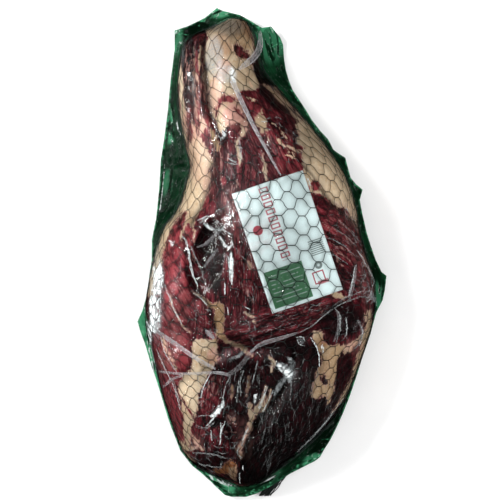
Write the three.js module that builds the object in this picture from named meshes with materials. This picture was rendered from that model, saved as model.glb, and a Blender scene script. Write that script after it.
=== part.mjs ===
// A boned cured ham centre, vacuum packed between a clear top film and a green
// back film, lying with its shown side up. Millimetres. +Y points to the narrow
// shank end, +Z up, and the origin is under the middle of the whole pack.
import * as THREE from "three";

// Heights of the pack
const SEAM_Z = 16; // line where the clear film meets the back film
const BASE_Z = 1.3; // flat underside of the ham
const BACK_FILM = 1; // thickness of the back film, thicker than the real film
const GAP = 0.3; // clearance between pieces that touch

// Outline of the ham seen from above, and the height of its crown, row by row
const ROWS = [
  { y: 206, left: -26, right: -26, crown: SEAM_Z },
  { y: 203, left: -35, right: -13.5, crown: 34 },
  { y: 196, left: -47.5, right: -9, crown: 47 },
  { y: 189.5, left: -64, right: -5.5, crown: 56 },
  { y: 181, left: -70, right: -3, crown: 62 },
  { y: 160, left: -73, right: 2, crown: 70 },
  { y: 140, left: -74.5, right: 18, crown: 77 },
  { y: 115, left: -71.5, right: 39.5, crown: 86 },
  { y: 90, left: -67, right: 59, crown: 95 },
  { y: 76, left: -63.5, right: 68.5, crown: 99 },
  { y: 57, left: -68, right: 77.5, crown: 103 },
  { y: 37, left: -75, right: 83, crown: 106 },
  { y: 23, left: -86, right: 85, crown: 107 },
  { y: 0, left: -93.5, right: 91, crown: 108 },
  { y: -28, left: -99.5, right: 99, crown: 107 },
  { y: -54, left: -102, right: 98, crown: 104 },
  { y: -85, left: -96.5, right: 89.5, crown: 98 },
  { y: -119, left: -88.5, right: 76.5, crown: 89 },
  { y: -145, left: -80.5, right: 63, crown: 79 },
  { y: -171, left: -70.5, right: 38, crown: 65 },
  { y: -184, left: -60, right: 22, crown: 56 },
  { y: -193, left: -46, right: 10, crown: 47 },
  { y: -200, left: -31, right: 1.5, crown: 37 },
  { y: -204, left: -23, right: -7, crown: 27 },
  { y: -205.5, left: -15, right: -15, crown: SEAM_Z },
];
const SECTION_POWER = 2.5; // superellipse of the cross section above the seam
const FLAT_SHARE = 0.7; // part of the width that lies flat on the back film
const END_RUN = 28; // length over which the underside rises to each end

// Mesh density
const STATIONS = 84;
const TOP_STEPS = 42;
const UNDER_SHARES = [-1, -0.9, -0.8, -FLAT_SHARE, FLAT_SHARE, 0.8, 0.9, 1];

// The label, a stiff card under the clear film
const LABEL = {
  x: 21,
  y: 9.5,
  turn: 18.7,
  width: 63,
  length: 106.5,
  thickness: 0.8,
  lift: 0.45,
  margin: 11,
  across: 10,
  along: 16,
};

// Muscles and fat pads that stand up, as elliptical mounds turned by degrees
const MOUNDS = [
  { x: -28, y: 170, rx: 24, ry: 40, turn: 0, rise: 7 }, // shank tendon pad
  { x: -29, y: 118, rx: 17, ry: 18, turn: 0, rise: 5 }, // pink knuckle
  { x: -67, y: 142, rx: 9, ry: 56, turn: 2, rise: 4 }, // outer shank strip
  { x: -55, y: 140, rx: 8, ry: 52, turn: 2, rise: 4 }, // inner shank strip
  { x: 8, y: 140, rx: 12, ry: 40, turn: 42, rise: 3 }, // shank side strip
  { x: -55, y: 70, rx: 13, ry: 34, turn: 4, rise: 4 }, // waist fat
  { x: -28, y: 72, rx: 16, ry: 36, turn: 0, rise: 3 }, // central lean
  { x: 14, y: 98, rx: 15, ry: 36, turn: 35, rise: 4 }, // inner right lean
  { x: 60, y: 74, rx: 15, ry: 50, turn: 34, rise: 4 }, // right fat cap
  { x: -76, y: -20, rx: 22, ry: 58, turn: -6, rise: 7 }, // left lobe
  { x: -27, y: -8, rx: 9, ry: 44, turn: 8, rise: 4 }, // ridge by the label
  { x: 78, y: 2, rx: 17, ry: 52, turn: 16, rise: 4 }, // right lean
  { x: 4, y: -60, rx: 42, ry: 17, turn: 14, rise: 4 }, // lean under the label
  { x: -78, y: -92, rx: 22, ry: 26, turn: -10, rise: 4 }, // lower left lean
  { x: -52, y: -92, rx: 13, ry: 22, turn: -10, rise: 3 }, // lower fat patch
  { x: -60, y: -138, rx: 20, ry: 36, turn: 14, rise: 4 }, // lower left band
  { x: 30, y: -138, rx: 38, ry: 60, turn: -20, rise: 8 }, // large dark lobe
  { x: 58, y: -96, rx: 12, ry: 36, turn: -8, rise: 4 }, // lower right fat
  { x: -38, y: -168, rx: 22, ry: 24, turn: 0, rise: 4 }, // butt end lobe
];

// Places where the film is drawn into a hollow
const HOLLOWS = [
  { x: -47, y: 0, rx: 15, ry: 38, turn: -14, rise: -14 }, // beside the left lobe
  { x: 68, y: -58, rx: 22, ry: 17, turn: 20, rise: -5 }, // right of the label
  { x: -13, y: -108, rx: 20, ry: 34, turn: 12, rise: -6 }, // lower middle
  { x: 71, y: -102, rx: 8, ry: 20, turn: -10, rise: -3 }, // lens in the fat
  { x: -17, y: 176, rx: 9, ry: 12, turn: 30, rise: -4 }, // slit in the tendon pad
];

// Furrows between the muscles, as lines with a depth and a half width
const FURROWS = [
  { depth: 5, spread: 4.5, line: [[-51, 197], [-49, 165], [-46, 135], [-41, 112], [-36, 98]] },
  { depth: 3, spread: 4, line: [[-61, 188], [-61, 150], [-60, 112]] },
  { depth: 3, spread: 4.5, line: [[-42, 96], [-44, 70], [-47, 54], [-56, 38], [-63, 22]] },
  { depth: 4, spread: 4.5, line: [[-66, 14], [-62, -10], [-57, -28], [-48, -44], [-38, -66]] },
  {
    depth: 6,
    spread: 5,
    line: [[-38, -86], [-28, -78], [-8, -80], [15, -76], [33, -69], [50, -56], [68, -43], [96, -39]],
  },
  { depth: 4, spread: 4.5, line: [[-41, -104], [-34, -124], [-32, -150], [-20, -176]] },
  {
    depth: 5,
    spread: 5,
    line: [[28, -80], [24, -102], [12, -124], [-6, -148], [-14, -166], [-16, -182]],
  },
  { depth: 4, spread: 4.5, line: [[48, -80], [46, -102], [45, -124], [54, -140]] },
  { depth: 2.5, spread: 4, line: [[34, 106], [36, 76], [50, 54], [64, 42], [82, 28]] },
];

// Outer edge of the green back film, anticlockwise from the top left corner,
// with the sharp corners marked
const RIM = [
  [-76.5, 195, true], [-76.5, 178.5], [-80, 152], [-82.5, 126], [-85.5, 104], [-89, 82],
  [-90.5, 55.5], [-93, 29], [-96.5, 11.5], [-96.5, -6], [-98.5, -19], [-101, -37],
  [-104.5, -50], [-109, -60, true], [-106.5, -68.5], [-103, -78], [-99.5, -89.5], [-96.5, -100],
  [-93.5, -108], [-89.5, -120.5], [-81.5, -147], [-71.5, -173], [-61, -186.5], [-52, -193.5],
  [-45.5, -199.5], [-38.5, -206.5], [-32.5, -212], [-26.5, -213.5, true], [-14, -213.5, true],
  [-5.5, -211], [6, -205], [15, -199.5], [24.5, -193.5], [30, -191], [35, -186.5],
  [46.5, -183], [51, -179.5, true], [54.5, -173], [60, -164.5], [65, -154], [70.5, -141],
  [75.5, -129], [80, -116], [83.5, -105.5], [87, -94], [91.5, -81], [95, -70.5],
  [100, -52], [105.5, -41.5], [107.5, -32.5], [109, -20, true], [104.5, -16.5], [99.5, -6],
  [95, 7], [91.5, 18.5], [88, 33.5], [85.5, 46.5], [88, 55.5, true], [82.5, 60], [77.5, 66],
  [74.5, 77.5], [73, 83.5], [66, 88], [62.5, 90.5], [58, 99.5], [51, 107], [44, 116],
  [38, 126], [32.5, 134.5], [27, 143], [23.5, 152], [21, 161], [19.5, 170], [18.5, 183, true],
  [16, 189], [11.5, 192.5], [8, 198.5, true], [0, 197], [-6, 200.5], [-13, 205], [-19.5, 208.5],
  [-26.5, 210], [-35, 212], [-39.5, 214.6, true], [-42, 213.5], [-44, 209.5, true], [-50, 206],
  [-56.5, 203], [-65, 198.5],
];
const SPINE = { top: [-24, 164], bottom: [-8, -165] }; // the rim fans out from here
const RIM_REACH = 22; // a rim this wide comes down to the table
const RIM_LOOPS = [0.45, 1]; // shares of the way from the seam to the edge

// Crumpled places where the rim stands up off the table
const RIM_LIFTS = [
  { x: -109, y: -60, radius: 26, rise: 7 },
  { x: 109, y: -20, radius: 28, rise: 6 },
  { x: 88, y: 56, radius: 20, rise: 4 },
  { x: -76, y: 195, radius: 22, rise: 5 },
  { x: -40, y: 214, radius: 20, rise: 6 },
  { x: 9, y: 197, radius: 24, rise: 8 },
  { x: -28, y: -213, radius: 24, rise: 5 },
  { x: 10, y: -202, radius: 22, rise: 3 },
  { x: -94, y: 30, radius: 24, rise: 4 },
];

// The gathered end of the net, lying on the table under the rim
const TAIL = {
  y: [-214.6, -208, -200, -192.5],
  x: [2.2, 6.8, 12.4, 17.6],
  halfWidth: [6.6, 6.3, 6.4, 5.6],
  halfHeight: [2.9, 3, 2.8, 2.2],
  floor: 0.2,
  sides: 16,
  groove: 0.12,
};

// Small helpers

function smooth(value) {
  const t = Math.min(Math.max(value, 0), 1);
  return t * t * (3 - 2 * t);
}

function mix(a, b, t) {
  return a + (b - a) * t;
}

function catmull(a, b, c, d, t) {
  return (
    b +
    0.5 *
      t *
      (c - a + t * (2 * a - 5 * b + 4 * c - d + t * (3 * (b - c) + d - a)))
  );
}

// A row beyond a pole is the row inside it, turned over, so the ends are round.
function rowOrMirror(index) {
  const last = ROWS.length - 1;
  if (index >= 0 && index <= last) return ROWS[index];
  const inner = index < 0 ? ROWS[1] : ROWS[last - 1];
  return {
    y: inner.y,
    left: inner.right,
    right: inner.left,
    crown: 2 * SEAM_Z - inner.crown,
  };
}

function rowAt(position) {
  const i = Math.min(Math.floor(position), ROWS.length - 2);
  const t = position - i;
  const rows = [-1, 0, 1, 2].map((step) => rowOrMirror(i + step));
  const along = (key) => catmull(...rows.map((row) => row[key]), t);
  return {
    y: along("y"),
    left: along("left"),
    right: along("right"),
    crown: along("crown"),
  };
}

// Row positions evenly spaced over the surface from pole to pole
function stationPositions() {
  const fine = 2000;
  const lengths = [0];
  let before = rowAt(0);
  for (let i = 1; i <= fine; i++) {
    const row = rowAt((i / fine) * (ROWS.length - 1));
    const side = Math.hypot(row.left - before.left, row.right - before.right) / 2;
    lengths.push(lengths[i - 1] + Math.hypot(row.y - before.y, side));
    before = row;
  }
  const positions = [];
  let i = 0;
  for (let k = 0; k <= STATIONS; k++) {
    const wanted = (lengths[fine] * k) / STATIONS;
    while (i < fine - 1 && lengths[i + 1] < wanted) i++;
    const t = (wanted - lengths[i]) / (lengths[i + 1] - lengths[i]);
    positions.push(((i + t) / fine) * (ROWS.length - 1));
  }
  return positions;
}

// Shares of the half width, evenly spaced along a section of equal axes
function sectionShares() {
  const fine = 4000;
  const arc = [0];
  const shares = [-1];
  let x = -1;
  let z = 0;
  for (let i = 1; i <= fine; i++) {
    const angle = (Math.PI * i) / fine;
    const nextX = -Math.sign(Math.cos(angle)) * Math.abs(Math.cos(angle)) ** (2 / SECTION_POWER);
    const nextZ = Math.abs(Math.sin(angle)) ** (2 / SECTION_POWER);
    arc.push(arc[i - 1] + Math.hypot(nextX - x, nextZ - z));
    shares.push(nextX);
    x = nextX;
    z = nextZ;
  }
  const picked = [];
  let i = 0;
  for (let k = 0; k <= TOP_STEPS; k++) {
    const wanted = (arc[fine] * k) / TOP_STEPS;
    while (i < fine - 1 && arc[i + 1] < wanted) i++;
    const t = (wanted - arc[i]) / (arc[i + 1] - arc[i]);
    picked.push(mix(shares[i], shares[i + 1], t));
  }
  picked[0] = -1;
  picked[TOP_STEPS] = 1;
  return picked;
}

function moundAt(mound, x, y) {
  const turn = THREE.MathUtils.degToRad(mound.turn);
  const dx = x - mound.x;
  const dy = y - mound.y;
  const across = (dx * Math.cos(turn) + dy * Math.sin(turn)) / mound.rx;
  const along = (-dx * Math.sin(turn) + dy * Math.cos(turn)) / mound.ry;
  const r = across * across + along * along;
  return r < 1 ? mound.rise * (1 - r) ** 2 : 0;
}

function distanceToLine(line, x, y) {
  let nearest = Infinity;
  for (let i = 0; i < line.length - 1; i++) {
    const [ax, ay] = line[i];
    const [bx, by] = line[i + 1];
    const lengthSquared = (bx - ax) ** 2 + (by - ay) ** 2;
    const t = ((x - ax) * (bx - ax) + (y - ay) * (by - ay)) / lengthSquared;
    const s = Math.min(Math.max(t, 0), 1);
    nearest = Math.min(nearest, Math.hypot(x - mix(ax, bx, s), y - mix(ay, by, s)));
  }
  return nearest;
}

// Place in the label's own frame: across it and along it
function labelPlace(x, y) {
  const turn = THREE.MathUtils.degToRad(LABEL.turn);
  const dx = x - LABEL.x;
  const dy = y - LABEL.y;
  return [
    dx * Math.cos(turn) + dy * Math.sin(turn),
    -dx * Math.sin(turn) + dy * Math.cos(turn),
  ];
}

// 0 under the label, where the card presses the ham smooth, and 1 well away
function awayFromLabel(x, y) {
  const [across, along] = labelPlace(x, y);
  const outX = Math.max(Math.abs(across) - LABEL.width / 2, 0);
  const outY = Math.max(Math.abs(along) - LABEL.length / 2, 0);
  return smooth(Math.hypot(outX, outY) / LABEL.margin - 0.2);
}

function relief(x, y) {
  let height = 0;
  for (const mound of MOUNDS) height += moundAt(mound, x, y);
  for (const hollow of HOLLOWS) height += moundAt(hollow, x, y);
  for (const furrow of FURROWS) {
    const d = distanceToLine(furrow.line, x, y) / furrow.spread;
    height -= furrow.depth * Math.exp(-d * d);
  }
  return height * awayFromLabel(x, y);
}

// Surface of the packed ham at a share of the half width of a row
function topPoint(row, share) {
  const x = (row.left + row.right) / 2 + ((row.right - row.left) / 2) * share;
  const arch = (1 - Math.min(Math.abs(share), 1) ** SECTION_POWER) ** (1 / SECTION_POWER);
  const bulk = row.crown - SEAM_Z;
  const fade = smooth((arch * bulk) / 30);
  return [x, row.y, SEAM_Z + bulk * arch + relief(x, row.y) * fade];
}

function underPoint(row, share) {
  const x = (row.left + row.right) / 2 + ((row.right - row.left) / 2) * share;
  const toEnd = Math.min(ROWS[0].y - row.y, row.y - ROWS[ROWS.length - 1].y);
  const drop = smooth(toEnd / END_RUN);
  const side = smooth((Math.abs(share) - FLAT_SHARE) / (1 - FLAT_SHARE));
  return [x, row.y, SEAM_Z - (SEAM_Z - BASE_Z) * drop * (1 - side)];
}

// Height of the ham under any point of the label
function topHeight(x, y) {
  let low = 0;
  let high = ROWS.length - 1;
  for (let i = 0; i < 50; i++) {
    const middle = (low + high) / 2;
    if (rowAt(middle).y > y) low = middle;
    else high = middle;
  }
  const row = rowAt((low + high) / 2);
  const half = (row.right - row.left) / 2;
  return topPoint(row, (x - (row.left + row.right) / 2) / half)[2];
}

// A closed mesh with its faces turned outwards
function closedMesh(name, points, faces, look) {
  let volume = 0;
  for (const [a, b, c] of faces) {
    const [p, q, r] = [points[a], points[b], points[c]].map((v) => new THREE.Vector3(...v));
    volume += p.dot(q.cross(r));
  }
  const turned = volume < 0 ? faces.map(([a, b, c]) => [a, c, b]) : faces;
  const geometry = new THREE.BufferGeometry();
  geometry.setAttribute("position", new THREE.Float32BufferAttribute(points.flat(), 3));
  geometry.setIndex(turned.flat());
  geometry.computeVertexNormals();
  const mesh = new THREE.Mesh(geometry, new THREE.MeshStandardMaterial(look));
  mesh.name = name;
  return mesh;
}

// The ham in its clear film: rings of points from pole to pole
function packedHam(rows) {
  const shares = sectionShares();
  const points = [[ROWS[0].left, ROWS[0].y, SEAM_Z]];
  const ring = TOP_STEPS + UNDER_SHARES.length - 1;
  for (const row of rows) {
    for (const share of shares) points.push(topPoint(row, share));
    for (let k = UNDER_SHARES.length - 2; k > 0; k--) {
      points.push(underPoint(row, UNDER_SHARES[k]));
    }
  }
  const last = ROWS[ROWS.length - 1];
  points.push([last.left, last.y, SEAM_Z]);
  const faces = [];
  const at = (station, step) => 1 + station * ring + (step % ring);
  for (let step = 0; step < ring; step++) {
    faces.push([0, at(0, step), at(0, step + 1)]);
    for (let station = 0; station < rows.length - 1; station++) {
      const [a, b] = [at(station, step), at(station, step + 1)];
      const [c, d] = [at(station + 1, step), at(station + 1, step + 1)];
      faces.push([a, c, b], [b, c, d]);
    }
    const end = rows.length - 1;
    faces.push([points.length - 1, at(end, step + 1), at(end, step)]);
  }
  return closedMesh("bagged_ham", points, faces, {
    color: 0x5a1c22,
    roughness: 0.25,
    metalness: 0,
  });
}

// Point of the rim line on the ray that runs from the spine through a seam point
function rimTarget(point) {
  const [ax, ay] = SPINE.top;
  const [bx, by] = SPINE.bottom;
  const lengthSquared = (bx - ax) ** 2 + (by - ay) ** 2;
  const t = ((point[0] - ax) * (bx - ax) + (point[1] - ay) * (by - ay)) / lengthSquared;
  const s = Math.min(Math.max(t, 0), 1);
  const from = [mix(ax, bx, s), mix(ay, by, s)];
  const [dx, dy] = [point[0] - from[0], point[1] - from[1]];
  let best = null;
  for (let i = 0; i < RIM.length; i++) {
    const [px, py] = RIM[i];
    const [qx, qy] = RIM[(i + 1) % RIM.length];
    const [ex, ey] = [qx - px, qy - py];
    const cross = dx * ey - dy * ex;
    if (Math.abs(cross) < 1e-9) continue;
    const far = ((px - from[0]) * ey - (py - from[1]) * ex) / cross;
    const share = ((px - from[0]) * dy - (py - from[1]) * dx) / cross;
    if (far > 0 && share >= 0 && share <= 1 && (best === null || far > best)) best = far;
  }
  return [from[0] + dx * best, from[1] + dy * best];
}

// Rim targets for the whole seam. Each point of the rim moves the nearest of
// them onto itself, and the sharp corners choose first.
function rimTargets(seam) {
  const targets = seam.map(rimTarget);
  const taken = new Set();
  const sharpFirst = [...RIM].sort((a, b) => Number(b[2] === true) - Number(a[2] === true));
  for (const [x, y] of sharpFirst) {
    const away = targets.map((target) => Math.hypot(target[0] - x, target[1] - y));
    const index = away.indexOf(Math.min(...away));
    if (!taken.has(index)) targets[index] = [x, y];
    taken.add(index);
  }
  return targets;
}

function rimHeight(seamZ, width, share, x, y, place) {
  const reach = smooth(width / RIM_REACH);
  let edge = mix(seamZ - 1.5, BACK_FILM + 0.5, reach);
  for (const lift of RIM_LIFTS) {
    const d = Math.hypot(x - lift.x, y - lift.y) / lift.radius;
    if (d < 1) edge += lift.rise * (1 - d * d) ** 2;
  }
  const ruffle = Math.sin(place / 4.1) + 0.7 * Math.sin(place / 2.3 + 1);
  const z = mix(seamZ, edge, share ** 0.7) + 1.1 * ruffle * reach * share;
  return Math.min(Math.max(z, BACK_FILM + 0.4), SEAM_Z - GAP);
}

// The green back film: a sheet under the ham that runs out to the rim
function backFilm(rows) {
  const across = UNDER_SHARES.length;
  const seamZ = SEAM_Z - GAP;
  const points = [[ROWS[0].left, ROWS[0].y, seamZ]];
  for (const row of rows) {
    for (const share of UNDER_SHARES) {
      const [x, y, z] = underPoint(row, share);
      points.push([x, y, z - GAP]);
    }
  }
  const last = ROWS[ROWS.length - 1];
  const foot = points.length;
  points.push([last.left, last.y, seamZ]);
  const at = (station, k) => 1 + station * across + k;
  const faces = [];
  for (let k = 0; k < across - 1; k++) {
    faces.push([0, at(0, k), at(0, k + 1)]);
    for (let station = 0; station < rows.length - 1; station++) {
      const [a, b] = [at(station, k), at(station, k + 1)];
      const [c, d] = [at(station + 1, k), at(station + 1, k + 1)];
      faces.push([a, c, d], [a, d, b]);
    }
    faces.push([foot, at(rows.length - 1, k + 1), at(rows.length - 1, k)]);
  }
  let loop = [0];
  for (let station = 0; station < rows.length; station++) loop.push(at(station, 0));
  loop.push(foot);
  for (let station = rows.length - 1; station >= 0; station--) loop.push(at(station, across - 1));
  const seam = loop.map((index) => points[index]);
  const targets = rimTargets(seam);
  for (const share of RIM_LOOPS) {
    const next = seam.map((point, i) => {
      const width = Math.hypot(targets[i][0] - point[0], targets[i][1] - point[1]);
      const x = mix(point[0], targets[i][0], share);
      const y = mix(point[1], targets[i][1], share);
      points.push([x, y, rimHeight(seamZ, width, share, x, y, i)]);
      return points.length - 1;
    });
    for (let i = 0; i < loop.length; i++) {
      const j = (i + 1) % loop.length;
      faces.push([loop[i], next[i], next[j]], [loop[i], next[j], loop[j]]);
    }
    loop = next;
  }
  const count = points.length;
  const all = points.concat(points.map(([x, y, z]) => [x, y, z - BACK_FILM]));
  const closed = [];
  for (const [a, b, c] of faces) closed.push([a, b, c], [a + count, c + count, b + count]);
  for (let i = 0; i < loop.length; i++) {
    const [a, b] = [loop[i], loop[(i + 1) % loop.length]];
    closed.push([a, a + count, b + count], [a, b + count, b]);
  }
  return closedMesh("back_film", all, closed, {
    color: 0x1f5a3e,
    roughness: 0.3,
    metalness: 0,
  });
}

// The label card, bent over the crown
function labelCard() {
  const points = [];
  const faces = [];
  const turn = THREE.MathUtils.degToRad(LABEL.turn);
  const columns = LABEL.across + 1;
  for (const layer of [0, LABEL.thickness]) {
    for (let j = 0; j <= LABEL.along; j++) {
      for (let i = 0; i <= LABEL.across; i++) {
        const u = LABEL.width * (i / LABEL.across - 0.5);
        const v = LABEL.length * (j / LABEL.along - 0.5);
        const x = LABEL.x + u * Math.cos(turn) - v * Math.sin(turn);
        const y = LABEL.y + u * Math.sin(turn) + v * Math.cos(turn);
        points.push([x, y, topHeight(x, y) + LABEL.lift + layer]);
      }
    }
  }
  const count = points.length / 2;
  for (let j = 0; j < LABEL.along; j++) {
    for (let i = 0; i < LABEL.across; i++) {
      const a = j * columns + i;
      const [b, c, d] = [a + 1, a + columns, a + columns + 1];
      faces.push([a, c, b], [b, c, d]);
      faces.push([a + count, b + count, c + count], [b + count, d + count, c + count]);
    }
  }
  const edge = [];
  for (let i = 0; i < LABEL.across; i++) edge.push(i);
  for (let j = 0; j < LABEL.along; j++) edge.push(j * columns + LABEL.across);
  for (let i = LABEL.across; i > 0; i--) edge.push(LABEL.along * columns + i);
  for (let j = LABEL.along; j > 0; j--) edge.push(j * columns);
  edge.forEach((a, i) => {
    const b = edge[(i + 1) % edge.length];
    faces.push([a, b, a + count], [b, b + count, a + count]);
  });
  return closedMesh("label", points, faces, {
    color: 0xd8e8e2,
    roughness: 0.5,
    metalness: 0,
  });
}

// The gathered end of the net: a grooved flat bundle with a cut end
function netTail() {
  const points = [];
  const faces = [];
  TAIL.y.forEach((y, row) => {
    const middle = TAIL.floor + TAIL.halfHeight[row] * (1 + TAIL.groove);
    for (let k = 0; k < TAIL.sides; k++) {
      const angle = (2 * Math.PI * k) / TAIL.sides;
      const fold = k % 2 ? 1 - TAIL.groove : 1 + TAIL.groove / 2;
      points.push([
        TAIL.x[row] + TAIL.halfWidth[row] * fold * Math.cos(angle),
        y,
        middle + TAIL.halfHeight[row] * fold * Math.sin(angle),
      ]);
    }
  });
  const rows = TAIL.y.length;
  for (let row = 0; row < rows - 1; row++) {
    for (let k = 0; k < TAIL.sides; k++) {
      const a = row * TAIL.sides + k;
      const b = row * TAIL.sides + ((k + 1) % TAIL.sides);
      faces.push([a, b, a + TAIL.sides], [b, b + TAIL.sides, a + TAIL.sides]);
    }
  }
  for (const row of [0, rows - 1]) {
    const centre = points.length;
    const middle = TAIL.floor + TAIL.halfHeight[row] * (1 + TAIL.groove);
    points.push([TAIL.x[row], TAIL.y[row], middle]);
    for (let k = 0; k < TAIL.sides; k++) {
      const a = row * TAIL.sides + k;
      const b = row * TAIL.sides + ((k + 1) % TAIL.sides);
      faces.push(row ? [centre, a, b] : [centre, b, a]);
    }
  }
  return closedMesh("net_tail", points, faces, {
    color: 0x1c1d1e,
    roughness: 0.7,
    metalness: 0,
  });
}

const rows = stationPositions().slice(1, -1).map(rowAt);
const pack = new THREE.Group();
pack.add(packedHam(rows), backFilm(rows), labelCard(), netTail());

export default pack;
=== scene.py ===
"""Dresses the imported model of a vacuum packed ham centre: the meat, its clear film with pleats,
the black net, the green back film, the label card and the gathered end of the net.

Places are in millimetres. A place on the shown side is read on one level plane, as the camera
sees it, and then carried to the surface that lies behind it.
"""

import functools
import itertools
import math

import bmesh
import bpy
import numpy as np
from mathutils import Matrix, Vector
from mathutils.bvhtree import BVHTree
from mathutils.kdtree import KDTree


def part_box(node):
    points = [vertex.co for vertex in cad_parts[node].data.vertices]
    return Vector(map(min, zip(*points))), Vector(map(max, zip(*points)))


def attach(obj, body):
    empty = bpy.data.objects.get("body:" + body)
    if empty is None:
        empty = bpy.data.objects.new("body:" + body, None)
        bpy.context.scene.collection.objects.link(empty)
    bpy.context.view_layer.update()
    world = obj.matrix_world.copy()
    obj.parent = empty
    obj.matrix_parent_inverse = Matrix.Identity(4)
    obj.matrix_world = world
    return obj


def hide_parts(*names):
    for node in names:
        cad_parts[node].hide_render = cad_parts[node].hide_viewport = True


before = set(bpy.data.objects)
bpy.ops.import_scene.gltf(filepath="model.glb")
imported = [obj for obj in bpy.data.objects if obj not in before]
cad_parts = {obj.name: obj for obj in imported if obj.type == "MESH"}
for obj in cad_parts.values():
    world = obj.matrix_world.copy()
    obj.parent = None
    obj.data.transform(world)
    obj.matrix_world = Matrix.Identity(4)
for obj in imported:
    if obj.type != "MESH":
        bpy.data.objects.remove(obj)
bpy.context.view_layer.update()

bl_info = {
    "name": "Packed ham centre",
    "version": (1, 0, 0),
    "blender": (4, 5, 0),
    "location": "3D View > Sidebar > Ham",
    "description": "Makes the meat, film, net, label and stage of a vacuum packed ham centre",
    "category": "Object",
}

MM = 0.001

# Camera straight above the pack, and the level plane on which places are read
CAMERA = (-10.56, 2.64, 2500.0)
LENS = 204.5
READING_Z = 70.0

# Height of the seam, how far the floor lies under the pack, and half the floor's width
SEAM_Z = 16.0
FLOOR_GAP = 0.2
FLOOR_SIZE_M = 4.0

# The label card: its middle, turn in degrees, lift off the ham, thickness and cells
CARD = {"x": 21.0, "y": 9.5, "turn": 18.7, "lift": 0.5, "thick": 0.6}
CARD_CELLS = {"x_segments": 32, "y_segments": 54}

# Plain boxes on the label, in its own frame: left, right, low and high side
CARD_FIELD = (-27.8, 6.0, -50.5, -18.5)
CARD_ROWS = (-25.0, 3.0, -47.5, -21.0)
CARD_BLOCKS = (-9.2, -1.2, -14.0, 50.0)
CARD_BLOCK_HOLES = (-8.0, -2.4, -14.0, 50.0)
CARD_LINES = (16.0, 28.5, -19.0, -5.0)
CARD_SQUARE = (11.0, 21.0, -42.0, -31.5)
CARD_SQUARE_HOLE = (12.0, 20.0, -41.0, -32.5)
CARD_BAR = (13.5, 23.0, -43.0, -39.8)

# Middles of the round shapes on the label
CARD_BLUSH = (-22.0, 14.0)
CARD_DISC = (-20.5, 17.0)
CARD_RING = (18.6, -26.9)

# Distances on the label from one stripe to the next
ROW_PITCH = 3.6
BLOCK_PITCH = 6.4
LINE_PITCH = 1.7

# Depths below the outside of the pack
MEAT_DEPTH = 1.3
NET_DEPTH = 0.5

# How far the film and the net rise over the label, and how far beyond its edge they come down
FILM_OVER_CARD = 2.1
CARD_SLOPE = 3.0

# Heights of the meat's low relief
RELIEF = {
    "fat": 0.5,
    "lumps": 0.225,
    "strands": 0.22,
    "thread": 0.1,
    "pressed thread": 0.25,
    "pillow": 0.7,
    "underside": 0.3,
}

# Where the net ends, and how many columns more than the shown ones are drawn on each side
NET_ENDS = (-202.0, 203.0)
NET_SPARE = 10

# Shift of every other column, shift across with each millimetre along, and unevenness of the net
NET_STAGGER = 1.3
NET_DRIFT = -0.0173
NET_UNEVEN = 0.045

# The net is finer towards the butt end and wider towards the shank
NET_FINE = 0.76
NET_FINE_BELOW = -50.0
NET_WIDER = 0.3
NET_WIDER_ABOVE = 90.0

# Width of a cell at which a knot has its full width, and how far the threads bow
NET_FULL_WIDTH = 10.4
NET_BOW = 0.09

# Share of a section's width, at the seam, that the net leaves free
NET_SEAM = 0.004

# Points along a thread and a knot, and their radii in thicknesses of the thread
THREAD_POINTS = 7
KNOT_POINTS = 3
THREAD_RADIUS = 0.5
KNOT_RADIUS = 0.8

# How far from a thread its mark reaches
MARKS = {"thread": 0.9, "taut film": 1.6, "card": 2.4}

# The settings that the net's form depends on
NET_SETTINGS = ("net_columns", "net_cell", "net_knot", "card_width", "card_length")

# A pleat: its height and thickness, its cells across and the length of a step along it
PLEAT_HEIGHT = 0.7
PLEAT_THICKNESS = 0.15
PLEAT_CELLS = 6
PLEAT_STEP = 2.0

# A crease: the length of a step along it, and the strengths of the three that lie side by side
CREASE_STEP = 1.5
CREASE_SHARES = (1.0, 0.8, 0.6)
CRINKLE_STEPS = 9

# The rim: the sizes and heights of its folds, and how many ways its edge is looked for
RIM_FOLD = (14.0, 3.2)
RIM_RUFFLE = (9.0, 14.0)
RIM_FOLD_HEIGHT = 1.6
RIM_RUFFLE_HEIGHT = 1.1
RIM_WAYS = 720

# The gathered net end: its middle and how far it runs across, its radii, and its yarns
TAIL = {
    "x": 17.6,
    "run": 15.4,
    "z": 3.2,
    "half_width": 5.4,
    "half_height": 2.2,
    "yarns": 70,
    "yarn_radius": 0.42,
    "yarn_points": 12,
}

# Seeds of the random draws
SEEDS = {
    "net": 11,
    "meat edges": 31,
    "film edges": 41,
    "meat lumps": 3,
    "meat strands": 5,
    "film lumps": 51,
    "rim folds": 71,
    "pleats": 60,
    "creases": 83,
    "tail": 5,
}
WOBBLE_TABLE = 4096
WOBBLE_STEPS = (1, 157, 1571)

# Distances that stand for nowhere near
FAR_AWAY = 1e9
FAR_OUTSIDE = -20.0

# Colours that stay as they are
WHITE = (1.0, 1.0, 1.0)
FILM_TINT = (0.97, 0.98, 0.98)
PLEAT_TINT = (0.95, 0.96, 0.96)

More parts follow.
